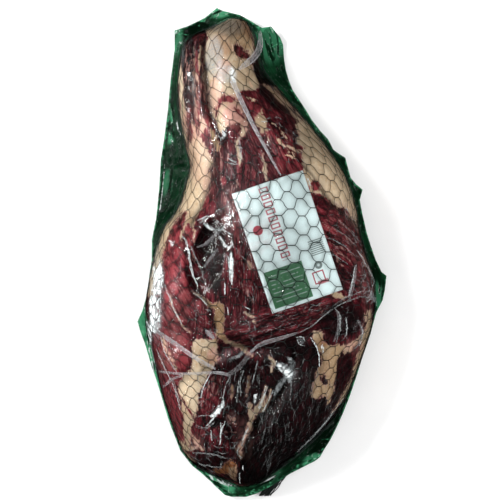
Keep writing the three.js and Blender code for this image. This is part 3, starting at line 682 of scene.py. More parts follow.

# Where the green film is painted paler teal, a painted sheen where light falls on it: x, y, radii,
# turn, share
STRETCHED = [
    (-78.5, 122, 1.8, 9, -4, 0.9),
    (-79.6, 103, 2, 8, -8, 0.9),
    (-106, -58, 12, 16, 0, 1.0),
    (-90, -100, 10, 50, 12, 0.8),
    (-84, 62, 4, 12, 0, 0.4),
    (8, 190, 14, 22, 0, 0.45),
    (-38, 212, 10, 6, 0, 1.0),
    (-35, -199, 14, 9, -30, 1.0),
    (-76, 188, 6, 14, 0, 0.6),
    (46, -182, 8, 6, 0, 0.8),
    (100, -40, 6, 14, 0, 0.5),
    (4, -196, 14, 6, 30, 0.3),
]

# Where the green film is dark, in the shade of the ham
SHADED = [
    (64, -146, 16, 46, -26, 1.0),
    (30, -186, 24, 8, 30, 0.6),
    (-58, 194, 16, 7, 25, 1.0),
    (98, -30, 5, 22, 0, 0.7),
    (30, 150, 14, 26, 30, 0.3),
    (66, 92, 8, 50, 32, 0.6),
    (-86, 60, 16, 60, -8, 0.45),
    (90, 30, 6, 40, 14, 0.5),
    (-60, -180, 6, 18, 42, 0.9),
]

# Glints on the green film, as lines with a width at each point
RIM_GLINTS = [
    [(-75, 118, 0.5), (-74.4, 111, 1.4), (-72.6, 106, 1.2), (-71, 103, 0.8)],
    [(-86, 78, 0.4), (-87, 66, 1.2), (-87.5, 54, 0.8), (-89.5, 40, 0.8), (-92.5, 24, 0.4)],
    [(-101, -76, 0.6), (-97, -92, 1.2), (-94, -108, 0.6)],
    [(-46, -194, 1.2), (-44, -196.5, 3), (-43, -199, 1)],
    [(-37, -196, 0.8), (-34.5, -198.6, 2.4), (-33, -202, 0.8)],
    [(-42, -196, 0.8), (-34, -202, 1.6), (-24, -207, 0.8)],
    [(-32, -200, 0.6), (-28, -203, 1.4), (-20, -204, 0.6)],
    [(-2, -202, 0.4), (6, -198, 1.2), (16, -192, 0.4)],
]

# Where the film lies slack and wrinkled: x, y, radii, turn, strength
SLACK = [
    (-42, 0, 20, 32, -10, 1.0),
    (-20, -30, 12, 50, 6, 0.7),
    (-32, 80, 20, 34, 0, 0.35),
    (8, 110, 30, 44, 30, 0.55),
    (-66, 150, 14, 50, 0, 0.7),
    (-14, -130, 36, 56, 0, 1.0),
    (76, -50, 26, 30, 20, 0.8),
    (34, -140, 36, 50, -24, 0.5),
    (-92, -40, 14, 50, 0, 0.8),
    (20, -70, 50, 14, 14, 0.8),
    (78, 10, 18, 40, 20, 0.5),
]

# Gold and peach specks on the lean of the shank side, partly bits of fat and partly painted glints
# of the crinkled film, as lines with a width at each point
CRINKLES = [
    [(-14, 134, 0.8), (-9, 132, 1.4), (-4, 131, 0.8)],
    [(0, 125, 0.8), (1, 120, 1)],
    [(-16, 147, 0.8), (-13, 141, 1.4), (-17, 138, 0.8)],
    [(-10, 148, 1.2), (-8, 144, 0.8)],
    [(-25.3, 180, 1.2), (-24, 174, 1.8), (-21, 169, 1.8), (-16.5, 166.5, 1.4)],
    [(3, 102, 2), (5, 98, 1.2)],
    [(12, 99, 2), (17, 95, 2.8), (20, 92, 1)],
    [(23, 92, 1.5), (29, 90, 3), (34, 88, 2)],
    [(20, 84, 1), (26, 83, 2), (31, 81, 1)],
    [(24, 87, 1), (29, 86, 1.5)],
    [(16, 90, 1.4), (17, 88, 1)],
    [(8, 112, 0.7), (15, 108, 0.7), (26, 96, 0.7)],
]

# Where the net presses the meat into pillows: x, y, radii, turn, strength
PILLOWS = [
    (-76, -14, 26, 58, 0, 0.8),
    (60, 74, 28, 54, 35, 0.9),
    (-54, -110, 22, 50, 8, 0.1),
    (-28, 176, 24, 34, 0, 0.3),
    (58, -100, 20, 34, 0, 0.3),
]


# Places, and how far they lie from what is painted


def smooth(value):
    """A soft step from 0 to 1."""
    t = np.clip(value, 0.0, 1.0)
    return t * t * (3.0 - 2.0 * t)


def ridge(away, spread):
    """1 on a line, falling to 0 a few spreads away from it."""
    return np.exp(-((away / spread) ** 2))


def turned(x, y, turn):
    """A place turned anticlockwise about the origin by a number of degrees."""
    angle = math.radians(turn)
    return x * math.cos(angle) - y * math.sin(angle), x * math.sin(angle) + y * math.cos(angle)


def wobble(points, size, seed):
    """Smooth random values from -1 to 1 that change over the given size."""
    table = np.random.default_rng(seed).uniform(-1.0, 1.0, WOBBLE_TABLE)
    steps = np.array(WOBBLE_STEPS[: points.shape[1]])
    cell = np.floor(points / size).astype(np.int64)
    part = smooth(points / size - cell)
    total = np.zeros(len(points))
    for corner in itertools.product((0, 1), repeat=points.shape[1]):
        weight = np.prod(np.where(np.array(corner, bool), part, 1.0 - part), axis=1)
        total += weight * table[((cell + corner) @ steps) % WOBBLE_TABLE]
    return total


def two_wobbles(points, sizes, heights, seed, apart=1):
    """A coarse wobble and a fine one together, whose seeds lie some way apart."""
    coarse = heights[0] * wobble(points, sizes[0], seed)
    return coarse + heights[1] * wobble(points, sizes[1], seed + apart)


def as_seen(points):
    """Where the camera sees points, on the reading plane."""
    eye = np.array(CAMERA)
    share = (eye[2] - READING_Z) / (eye[2] - points[:, 2:])
    return eye[:2] + (points[:, :2] - eye[:2]) * share


def to_segment(places, start, end):
    """Distance from places to a straight line, and the share along it of its nearest point."""
    run = np.array(end, float) - start
    t = np.clip(((places - start) @ run) / (run @ run), 0.0, 1.0)
    return np.hypot(*(places - start - t[:, None] * run).T), t


def line_reach(places, line):
    """Distance inside a line with a width at each point, below 0 outside it."""
    best = np.full(len(places), -FAR_AWAY)
    for a, b in zip(line, line[1:]):
        away, t = to_segment(places, a[:2], b[:2])
        best = np.maximum(best, (a[2] + (b[2] - a[2]) * t) / 2.0 - away)
    return best


def lines_reach(places, lines):
    """Distance inside the nearest of several lines."""
    reach = np.full(len(places), FAR_OUTSIDE)
    for line in lines:
        reach = np.maximum(reach, line_reach(places, line))
    return reach


def patch_reach(places, outline):
    """Distance inside a closed outline, below 0 outside it."""
    away = np.full(len(places), FAR_AWAY)
    inside = np.zeros(len(places), bool)
    x, y = places.T
    for (ax, ay), (bx, by) in zip(outline, outline[1:] + outline[:1]):
        away = np.minimum(away, to_segment(places, (ax, ay), (bx, by))[0])
        if ay != by:
            crosses = (ay > y) != (by > y)
            inside ^= crosses & (x < ax + (y - ay) / (by - ay) * (bx - ax))
    return np.where(inside, away, -away)


def blob(places, x, y, across, along, turn):
    """1 in the middle of a turned ellipse, falling softly to 0 at its edge."""
    u, v = turned(places[:, 0] - x, places[:, 1] - y, -turn)
    return smooth((1.25 - np.hypot(u / across, v / along)) / 0.5)


def washed(places, washes, base):
    """A value painted in soft ellipses, one over the other."""
    value = np.full(len(places), float(base))
    for *ellipse, tone, share in washes:
        weight = blob(places, *ellipse) * share
        value = value * (1.0 - weight) + tone * weight
    return value


def covered(places, blobs):
    """The strongest of soft ellipses."""
    value = np.zeros(len(places))
    for *ellipse, share in blobs:
        value = np.maximum(value, blob(places, *ellipse) * share)
    return value


def warped(points, size, reach, seed):
    """Places as seen, pushed about a little, so that painted edges run unevenly."""
    push = [
        two_wobbles(points, (size, size / 2.5), (1.0, 0.5), seed + axis, 5) for axis in (0, 1)
    ]
    return as_seen(points) + reach * np.column_stack(push)


def card_place(points):
    """Places in the label's own frame: across it and along it."""
    return turned(points[:, 0] - CARD["x"], points[:, 1] - CARD["y"], -CARD["turn"])


def on_card(points, settings):
    """1 on the label, falling to 0 a little outside it."""
    across, along = card_place(points)
    out_x = np.maximum(np.abs(across) - settings.card_width / MM / 2.0, 0.0)
    out_y = np.maximum(np.abs(along) - settings.card_length / MM / 2.0, 0.0)
    return smooth(1.0 - np.hypot(out_x, out_y) / CARD_SLOPE)


# Meshes


def copy_of_node(node):
    """The solid of a CAD node with its doubles merged and its triangles joined in pairs."""
    bm = bmesh.new()
    bm.from_mesh(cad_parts[node].data)
    bmesh.ops.remove_doubles(bm, verts=bm.verts, dist=1e-6)
    bmesh.ops.join_triangles(
        bm, faces=bm.faces, angle_face_threshold=math.pi, angle_shape_threshold=math.pi
    )
    return bm


def new_object(name, data):
    """An object of the scene that holds a mesh, a curve, a light or a camera."""
    made = bpy.data.objects.new(name, data)
    bpy.context.scene.collection.objects.link(made)
    return made


def object_from(bm, name):
    """An object of the scene whose mesh is a finished bmesh."""
    mesh = bpy.data.meshes.new(name)
    bm.to_mesh(mesh)
    bm.free()
    return new_object(name, mesh)


def mesh_as_shown(made):
    """A new mesh of an object with its modifiers, or its curve's thickness, applied."""
    graph = bpy.context.evaluated_depsgraph_get()
    return bpy.data.meshes.new_from_object(made.evaluated_get(graph))


def subdivided(node, name, levels, simple=False):
    """An object whose mesh is a node's solid, subdivided the given number of times."""
    made = object_from(copy_of_node(node), name)
    finer = made.modifiers.new("finer", "SUBSURF")
    finer.levels = finer.render_levels = levels
    finer.subdivision_type = "SIMPLE" if simple else "CATMULL_CLARK"
    final = mesh_as_shown(made)
    made.modifiers.clear()
    made.data = final
    final.name = name
    return made


def tubes(name, lines, radius, widths=None):
    """Closed tubes along lines of points, as one mesh."""
    curve = bpy.data.curves.new(name, "CURVE")
    curve.dimensions = "3D"
    curve.bevel_depth = radius * MM
    curve.bevel_resolution = 0
    curve.use_fill_caps = True
    for index, line in enumerate(lines):
        spline = curve.splines.new("POLY")
        spline.points.add(len(line) - 1)
        spline.points.foreach_set("co", np.column_stack([line * MM, np.ones(len(line))]).ravel())
        if widths:
            spline.points.foreach_set("radius", widths[index])
    made = new_object(name, curve)
    mesh = mesh_as_shown(made)
    bpy.data.objects.remove(made)
    bpy.data.curves.remove(curve)
    return mesh


def points_of(mesh):
    """The vertices in millimetres."""
    flat = np.empty(len(mesh.vertices) * 3)
    mesh.vertices.foreach_get("co", flat)
    return flat.reshape(-1, 3) / MM


def normals_of(mesh):
    """The way that the surface faces at each vertex."""
    flat = np.empty(len(mesh.vertices) * 3)
    mesh.vertex_normals.foreach_get("vector", flat)
    return flat.reshape(-1, 3)


def set_points(mesh, points):
    """Moves the vertices to points in millimetres."""
    mesh.vertices.foreach_set("co", (points * MM).ravel())
    mesh.update()


def set_attributes(mesh, **attributes):
    """A number, or three, at each vertex, for the materials to read."""
    for name, values in attributes.items():
        kind, key = ("FLOAT", "value") if values.ndim == 1 else ("FLOAT_VECTOR", "vector")
        made = mesh.attributes.new(name, kind, "POINT")
        made.data.foreach_set(key, values.astype(np.float32).ravel())


def face_out(bm):
    """Turns the faces of a bmesh outward."""
    bmesh.ops.recalc_face_normals(bm, faces=bm.faces)


def finish_piece(made, material, node):
    """Smooths a piece's shading, gives it its material and body, and hides the CAD node that it
    stands in for.
    """
    made.data.shade_smooth()
    made.data.materials.clear()
    made.data.materials.append(material)
    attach(made, "root")
    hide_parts(node)


# The outside of the pack, for what lies on it


def evenly(path, lengths, count):
    """A number of points evenly spaced over a path with three numbers a point."""
    run = np.concatenate([[0.0], np.cumsum(lengths)])
    wanted = np.linspace(0.0, run[-1], count)
    return np.column_stack([np.interp(wanted, run, path[:, axis]) for axis in range(3)])


def ray_tree(mesh):
    """A tree that finds where rays meet a mesh, in millimetres."""
    return BVHTree.FromPolygons(
        [v.co / MM for v in mesh.vertices], [p.vertices for p in mesh.polygons]
    )


class Skin:
    """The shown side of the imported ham, as a grid of sections across it."""

    STEP = 3.0
    COUNT = 161
    RAYS = 240
    RAY_HEIGHT = 60.0
    OUTSIDE = 300.0
    END_GAP = 1.5

    def __init__(self):
        made = subdivided("bagged_ham", "skin", 1)
        mesh = made.data
        self.tree = ray_tree(mesh)
        self.rim = ray_tree(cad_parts["back_film"].data)
        low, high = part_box("bagged_ham")
        self.low = low[1] / MM + self.END_GAP
        self.high = high[1] / MM - self.END_GAP
        count = int((self.high - self.low) / self.STEP) + 1
        self.grid = np.array([self.section(y) for y in np.linspace(self.low, self.high, count)])
        bpy.data.objects.remove(made)
        bpy.data.meshes.remove(mesh)

    def hit(self, start, way):
        """Where a ray meets the outside."""
        return self.tree.ray_cast(Vector(start), Vector(way).normalized())[0]

    def section(self, y):
        """Points evenly spaced over one section, from the left seam to the right one."""
        level = SEAM_Z + 0.3
        left = self.hit((-self.OUTSIDE, y, level), (1, 0, 0))
        right = self.hit((self.OUTSIDE, y, level), (-1, 0, 0))
        half = (right.x - left.x) / 2.0
        middle = ((left.x + right.x) / 2.0, y, level)
        hits = [left]
        for angle in np.linspace(0.0, math.pi, self.RAYS)[1:-1]:
            way = (-math.cos(angle) * half, 0.0, math.sin(angle) * self.RAY_HEIGHT)
            hits.append(self.hit(middle, way))
        hits.append(right)
        path = np.array([tuple(hit) for hit in hits])
        return evenly(path, np.linalg.norm(np.diff(path, axis=0), axis=1), self.COUNT)

    def row_at(self, y, last):
        """Number of the section at y, as a share of the last one's."""
        return np.clip((y - self.low) / (self.high - self.low), 0, 1) * last

    def at(self, share, y):
        """Points at shares from 0 at the left seam to 1 at the right one."""
        row = self.row_at(y, len(self.grid) - 1.001)
        column = np.clip(share, 0, 1) * (self.COUNT - 1.001)
        i, j = row.astype(int), column.astype(int)
        s, t = (row - i)[:, None], (column - j)[:, None]
        low = self.grid[i, j] * (1 - t) + self.grid[i, j + 1] * t
        high = self.grid[i + 1, j] * (1 - t) + self.grid[i + 1, j + 1] * t
        return low * (1 - s) + high * s

    def width(self, y):
        """Length over the top of the section at y."""
        row = int(self.row_at(y, len(self.grid) - 1))
        return np.linalg.norm(np.diff(self.grid[row], axis=0), axis=1).sum()

    def height(self, x, y):
        """Height of the outside above one place."""
        return self.hit((x, y, self.OUTSIDE), (0, 0, -1)).z

    def behind(self, places):
        """Points of the ham, or of the rim, that the camera sees at places on the reading plane."""
        eye = Vector(CAMERA)
        found = []
        for x, y in places:
            way = (Vector((x, y, READING_Z)) - eye).normalized()
            hit = self.tree.ray_cast(eye, way)[0] or self.rim.ray_cast(eye, way)[0]
            found.append(tuple(hit) if hit else (np.nan,) * 3)
        return np.array(found)


@functools.cache
def skin():
    """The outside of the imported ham, worked out once."""
    return Skin()


# The net


def net_points(settings):
    """Ends of the knots, for each column and row, with the share across and the place along."""
    columns = settings.net_columns
    length = settings.net_cell / MM
    draw = np.random.default_rng(SEEDS["net"])
    low, high = NET_ENDS
    start = low - 4.0 * length
    count = int((high - start) / length) + 2
    left, right = {}, {}
    for column, row in itertools.product(range(-NET_SPARE, columns + NET_SPARE + 1), range(count)):
        odd = column % 2
        y = start + (row + 0.5 * odd) * length + NET_STAGGER * (odd - 0.5)
        y = max(y, NET_FINE_BELOW + NET_FINE * (y - NET_FINE_BELOW))
        share = (column + 0.5 + NET_DRIFT * (y - CARD["y"])) / columns
        spread = 1.0 + NET_WIDER * float(smooth((y - NET_WIDER_ABOVE) / 80.0))
        spread -= (1.0 - NET_FINE) * float(smooth((NET_FINE_BELOW - y) / 60.0))
        share = 0.5 + (share - 0.5) * spread
        jitter = draw.normal(0.0, NET_UNEVEN, 2)
        y += jitter[0] * length
        if not low <= y <= high:
            continue
        wide = skin().width(y) / columns * spread
        slackness = 0.3 + 0.7 * float(smooth(share / 0.2 - 1.2))
        knot = settings.net_knot / MM * slackness * (wide / NET_FULL_WIDTH) ** 2
        half = min(0.5 * wide, knot) / (wide * columns) / 2.0
        centre = share + jitter[1] / columns
        left[column, row] = (centre - half, y)
        right[column, row] = (centre + half, y)
    return left, right


# Strands already worked out, for the settings that they come from
STRANDS = {}


def net_strands(settings):
    """Lines of points: the zigzag threads between the columns, and the knots."""
    key = tuple(getattr(settings, name) for name in NET_SETTINGS)
    if key in STRANDS:
        return STRANDS[key]
    left, right = net_points(settings)
    threads, knots = [], []
    for (column, row), start in right.items():
        step = column % 2
        for other in (row - 1 + step, row + step):
            end = left.get((column + 1, other))
            if end:
                threads.append((start, end))
        knots.append((left[column, row], start))
    STRANDS[key] = (
        [on_skin(line, THREAD_POINTS, settings, NET_BOW) for line in threads if visible(line)],
        [on_skin(line, KNOT_POINTS, settings) for line in knots if visible(line)],
    )
    return STRANDS[key]


def visible(line):
    """Whether both ends of a line lie clear of the seam."""
    return all(NET_SEAM < share < 1.0 - NET_SEAM for share, _ in line)


def on_skin(line, count, settings, bow=0.0):
    """Points of the net on the ham between two ends, bowed so that the cells are rounded."""
    (share, y), (last_share, last_y) = line
    bow *= 1.0 - float(smooth((y - NET_WIDER_ABOVE) / 60.0))
    t = np.linspace(0.0, 1.0, count)
    across = t + bow * np.sin(2.0 * math.pi * t)
    points = skin().at(share + (last_share - share) * across, y + (last_y - y) * t)
    points[:, 2] += FILM_OVER_CARD * on_card(points, settings)
    return points


def near_tree(spots):
    """A tree that finds the nearest of many points."""
    tree = KDTree(len(spots))
    for index, spot in enumerate(spots):
        tree.insert(spot, index)
    tree.balance()
    return tree


def net_distance(points, settings):
    """Distance from each point to the nearest thread."""
    threads, knots = net_strands(settings)
    shares = np.array([[0.0], [0.5], [1.0]])
    spots = []
    for line in threads + knots:
        for a, b in zip(line, line[1:]):
            spots.extend(a + (b - a) * shares)
    tree = near_tree(spots)
    return np.array([tree.find(point)[2] for point in points])


# Materials


def rgba(colour, factor=1.0):
    """A colour made darker or lighter, for a socket."""
    return (colour[0] * factor, colour[1] * factor, colour[2] * factor, 1.0)


class Finish:
    """A material in the making: each call adds a node and hands on what comes out of it."""

    def __init__(self, name):
        self.made = bpy.data.materials.new(name)
        self.made.use_nodes = True
        self.tree = self.made.node_tree
        self.tree.nodes.clear()

    def add(self, kind, inputs=None, output=0, **settings):
        """A node with its settings and its inputs, each a value or the socket that feeds it."""
        node = self.tree.nodes.new(kind)
        for key, value in settings.items():
            setattr(node, key, value)
        for socket, value in (inputs or {}).items():
            if isinstance(value, bpy.types.NodeSocket):
                self.tree.links.new(value, node.inputs[socket])
            else:
                node.inputs[socket].default_value = value
        return node.outputs[output]

    def maths(self, operation, first, *others, clamp=False):
        """A sum, product or the like of two values or more."""
        for other in others or (0.0,):
            inputs = {0: first, 1: other}
            first = self.add("ShaderNodeMath", inputs, operation=operation, use_clamp=clamp)
        return first

    def plus(self, *values):
        return self.maths("ADD", *values)

    def minus(self, *values, clamp=False):
        return self.maths("SUBTRACT", *values, clamp=clamp)

    def times(self, *values, clamp=False):
        return self.maths("MULTIPLY", *values, clamp=clamp)

    def highest(self, *values):
        return self.maths("MAXIMUM", *values)

    def lowest(self, *values):
        return self.maths("MINIMUM", *values)

    def off(self, value, middle):
        """How far a value is from a middle one, to either side."""
        return self.maths("ABSOLUTE", self.minus(value, middle))

    def swing(self, value, size):
        """A noise value set about zero and scaled."""
        return self.times(self.minus(value, 0.5), size)

    def scaled(self, value, low, high, out_low=0.0, out_high=1.0):
        """A value carried softly from one range to another and clamped."""
        ends = {"From Min": low, "From Max": high, "To Min": out_low, "To Max": out_high}
        inputs = {"Value": value, **ends}
        return self.add("ShaderNodeMapRange", inputs, interpolation_type="SMOOTHSTEP")

    def blended(self, share, first, last):
        """A mix of two colours."""
        return self.add("ShaderNodeMix", {0: share, 6: first, 7: last}, 2, data_type="RGBA")

    def tinted(self, under, share, colour, factor=1.0):
        """A colour laid over another by a share."""
        return self.blended(share, under, rgba(colour, factor))

    def shades(self, value, low, high, colour, first, last):
        """From one shade of a colour to another, as a value goes from low to high."""
        share = self.scaled(value, low, high)
        return self.blended(share, rgba(colour, first), rgba(colour, last))

    def ramp(self, value, *stops):
        """A colour for each value, between stops of a value and its colour."""
        socket = self.add("ShaderNodeValToRGB", {0: value})
        elements = socket.node.color_ramp.elements
        while len(elements) < len(stops):
            elements.new(0.5)
        for element, (position, colour) in zip(elements, stops):
            element.position = position
            element.color = colour
        return socket

    def read(self, name, output="Fac"):
        """What the mesh holds under a name."""
        return self.add("ShaderNodeAttribute", output=output, attribute_name=name)

    def place(self, turn=0.0, scale=(1.0, 1.0, 1.0)):
        """Object coordinates in millimetres, turned about the vertical and stretched."""
        coordinates = self.add("ShaderNodeTexCoord", output="Object")
        turning = {"Vector": coordinates, "Rotation": (0.0, 0.0, math.radians(turn))}
        way = self.add("ShaderNodeMapping", turning)
        stretching = {"Vector": way, "Scale": tuple(s / MM for s in scale)}
        return self.add("ShaderNodeMapping", stretching)

    def noise(self, scale, detail=3.0, rough=0.55, distortion=0.0, at=None):
        """Noise whose grains are about one over the scale, in millimetres."""
        inputs = {
            "Vector": self.place() if at is None else at,
            "Scale": scale,
            "Detail": detail,
            "Roughness": rough,
            "Distortion": distortion,
        }
        return self.add("ShaderNodeTexNoise", inputs, "Fac")

    def bumped(self, height, distance, strength):
        """The way that a surface faces with a relief on it."""
        inputs = {"Height": height, "Distance": distance * MM, "Strength": strength}
        return self.add("ShaderNodeBump", inputs)

    def clear(self, tint):
        """Film that is seen through."""
        return self.add("ShaderNodeBsdfTransparent", {"Color": rgba(tint)})

    def solid(self, colour, roughness, normal=None, specular=0.5):
        """A surface that isn't seen through."""
        inputs = {"Base Color": colour, "Roughness": roughness, "Specular IOR Level": specular}
        if normal is not None:
            inputs["Normal"] = normal
        return self.add("ShaderNodeBsdfPrincipled", inputs)

    def layered(self, share, under, over):
        """One surface over another, by a share."""
        return self.add("ShaderNodeMixShader", {0: share, 1: under, 2: over})

    def done(self, surface):
        """The material, ended with its surface."""
        end = self.tree.nodes.new("ShaderNodeOutputMaterial")
        self.tree.links.new(surface, end.inputs["Surface"])
        return self.made


def fibres(meat, across, along):
    """Long thin noise that runs the way of the fibres."""
    total = 0.0
    for index, (turn, _) in enumerate(GRAINS):
        way = meat.place(turn, (across, along, along * 3.0))
        streaks = meat.noise(1.0, 4.0, 0.6, 0.3, at=way)
        total = meat.plus(meat.times(streaks, meat.read(f"grain_{index}")), total)
    return total


def meat_material(settings):
    """Lean that runs in fibres, and fat that is pink, browned or rusty in places, with painted
    shade in the darkest lean, in the furrows and beside the threads.
    """
    meat = Finish("cured_meat")
    # Tone of the lean, with painted shade in its darkest washes and painted light and shade on the
    # pillows
    tone = meat.read("tone")
    pink = meat.read("pink")
    valley = meat.read("valley")
    fine = fibres(meat, 0.85, 0.12)
    coarse = fibres(meat, 0.24, 0.035)
    mottle = meat.noise(0.16, 4.0, 0.6)
    grain = meat.noise(0.9, 3.0, 0.6)
    blotch = meat.noise(0.3, 4.0, 0.7)
    dust = meat.noise(1.1, 3.0, 0.7)

    # Lean
    streaks = meat.plus(meat.swing(coarse, 2.4), meat.swing(fine, 1.5), meat.swing(mottle, 0.7))
    streaks = meat.times(streaks, meat.scaled(tone, 0.0, 0.5, 0.24, 1.0))
    lean = meat.ramp(
        meat.plus(tone, streaks),
        (0.0, rgba(settings.dark_colour)),
        (0.3, rgba(settings.lean_colour, 0.4)),
        (0.6, rgba(settings.lean_colour)),
        (0.95, rgba(settings.bright_colour)),
    )
    lean = meat.tinted(lean, meat.times(pink, 0.3), settings.pink_colour, 0.4)
    vein = meat.scaled(meat.off(coarse, 0.52), 0.02, 0.004)
    vein = meat.times(vein, meat.scaled(fine, 0.45, 0.6))
    fleck = meat.highest(meat.scaled(fine, 0.62, 0.72), vein)
    fleck = meat.times(fleck, meat.scaled(tone, 0.05, 0.6, 0.0, 0.5))
    lean = meat.tinted(lean, fleck, settings.pink_colour, 0.6)
    dust = meat.times(meat.scaled(dust, 0.52, 0.7), meat.scaled(tone, 0.0, 0.4, 0.12, 0.2))
    lean = meat.tinted(lean, dust, settings.grey_colour)
    # Painted shade in the valleys between the pillows and beside the threads
    mark = meat.highest(meat.times(valley, 0.4), meat.times(meat.read("imprint"), 0.14))
    lean = meat.tinted(lean, mark, settings.dark_colour)

    # Fat
    fat = meat.shades(mottle, 0.35, 0.65, settings.fat_colour, 0.86, 1.0)
    fat = meat.tinted(fat, meat.times(pink, 0.8), settings.pink_colour)
    stain = meat.times(meat.scaled(blotch, 0.5, 0.7), 0.5)
    fat = meat.tinted(fat, stain, settings.brown_colour, 1.6)
    browning = meat.times(meat.read("brown"), meat.scaled(grain, 0.25, 0.75, 0.55, 1.0))
    fat = meat.tinted(fat, browning, settings.brown_colour)
    fat = meat.tinted(fat, meat.read("rust"), settings.rust_colour)
    # Painted shade in the valleys of the fat, in brown
    fat = meat.tinted(fat, meat.times(valley, 0.24), settings.brown_colour)

    # Where they meet, and what lies on both
    ragged = meat.plus(meat.swing(blotch, 6.0), meat.swing(fine, 5.0))
    edge = meat.plus(meat.read("fat"), ragged)
    blush = meat.times(meat.scaled(edge, -0.9, 0.2), 0.7)
    lean = meat.tinted(lean, blush, settings.pink_colour, 0.7)
    colour = meat.blended(meat.scaled(edge, -0.2, 0.7), lean, fat)
    # Bright specks: partly bits of fat, partly painted glints of the crinkled film
    speck = meat.scaled(meat.plus(meat.read("speck"), ragged), -0.2, 0.3)
    colour = meat.tinted(colour, speck, settings.speck_colour)
    pale = meat.plus(meat.read("pale"), meat.times(ragged, 0.6))
    pale = meat.times(meat.scaled(pale, -0.4, 0.5), 0.75)
    colour = meat.tinted(colour, pale, settings.pink_colour, 0.65)
    # Painted shade in the furrows
    colour = meat.tinted(colour, meat.times(meat.read("crack"), 0.75), settings.dark_colour)

    roughness = meat.scaled(grain, 0.3, 0.7, 0.32, 0.5)
    relief = meat.plus(fine, meat.times(grain, 0.5))
    return meat.done(meat.solid(colour, roughness, meat.bumped(relief, 0.6, 0.8), specular=0.2))


def film_material(settings):
    """Clear gloss, with painted white glare and painted grey reflections laid over it in places."""
    film = Finish("clear_film")
    wrinkles = film.noise(0.7, 3.0, 0.5, 0.8, at=film.place(scale=(0.35, 0.12, 0.3)))
    crease = film.scaled(film.off(film.noise(0.16, 2.0, 0.5, 0.8), 0.5), 0.03, 0.0)
    relief = film.times(film.plus(wrinkles, film.times(crease, 0.25)), film.read("slack"))
    normal = film.bumped(relief, 1.6, settings.film_wrinkle)
    sheen = {"Color": rgba(WHITE), "Roughness": 0.09, "Normal": normal}
    fresnel = film.add("ShaderNodeFresnel", {"IOR": 1.45, "Normal": normal})
    shine = film.times(fresnel, film.minus(1.0, film.read("dull")))
    sheet = film.layered(shine, film.clear(FILM_TINT), film.add("ShaderNodeBsdfGlossy", sheen))

    # Painted glare, and painted grey reflections of broad light, laid over the clear film in places
    glare = film.read("glare")
    colour = film.blended(glare, rgba(settings.veil_colour), rgba(settings.glare_colour))
    ragged = film.noise(0.7, 4.0, 0.75, 0.6)
    patchy = film.noise(0.13, 2.0, 0.6)
    inside = film.plus(film.read("glint"), film.swing(ragged, 7.0))
    glare = film.times(film.scaled(inside, -0.2, 1.0), glare)
    glare = film.times(glare, film.scaled(patchy, 0.42, 0.5, 0.35, 1.0))
    veil = film.times(film.read("veil"), film.scaled(ragged, 0.3, 0.7, 0.35, 1.0))
    beside_thread = film.scaled(film.read("thread"), 0.2, 0.9, 1.0, 0.2)
    haze = film.times(film.highest(glare, veil), beside_thread, clamp=True)
    return film.done(film.layered(haze, sheet, film.solid(colour, 0.3, normal)))


def pleat_material(settings):
    """Folded film: see-through between its creases, milky white along them."""
    pleat = Finish("film_pleat")
    wrinkles = pleat.noise(0.35, 3.0, 0.5, 0.5)
    broken = pleat.noise(0.5, 3.0, 0.7)
    side = pleat.maths("ABSOLUTE", pleat.read("fold"))
    edge = pleat.times(pleat.scaled(side, 0.6, 0.8), pleat.scaled(side, 1.0, 0.85))
    crease = pleat.highest(edge, pleat.times(pleat.scaled(side, 0.2, 0.0), 0.5))
    crease = pleat.times(crease, pleat.scaled(broken, 0.42, 0.56, 0.25, 1.0))
    body = pleat.scaled(wrinkles, 0.35, 0.65, 0.05, 0.18)
    body = pleat.times(body, pleat.scaled(side, 1.0, 0.8))
    cover = pleat.plus(body, pleat.times(crease, 0.42))
    cover = pleat.times(cover, pleat.read("strength"), clamp=True)
    normal = pleat.bumped(wrinkles, 0.5, 0.4)
    white = pleat.solid(rgba(settings.pleat_colour), 0.25, normal, specular=0.4)
    return pleat.done(pleat.layered(cover, pleat.clear(PLEAT_TINT), white))


def crease_material(settings):
    """A sharp crease of the film, whose white is a painted highlight in places, and see-through in
    others.
    """
    crease = Finish("film_crease")
    cover = crease.scaled(crease.noise(0.7, 3.0, 0.7), 0.4, 0.56, 0.1, 1.15)
    cover = crease.times(cover, crease.read("strength"), clamp=True)
    white = crease.solid(rgba(settings.glare_colour), 0.25)
    return crease.done(crease.layered(cover, crease.clear(FILM_TINT), white))


def net_material(settings):
    """Dark yarn, with fine twist."""
    net = Finish("black_net")
    twist = net.noise(1.6, 3.0, 0.6)
    dark, light = rgba(settings.net_colour, 0.5), rgba(settings.net_colour, 1.6)
    colour = net.ramp(twist, (0.3, dark), (0.75, light))
    return net.done(net.solid(colour, 0.6, net.bumped(twist, 0.3, 0.6)))


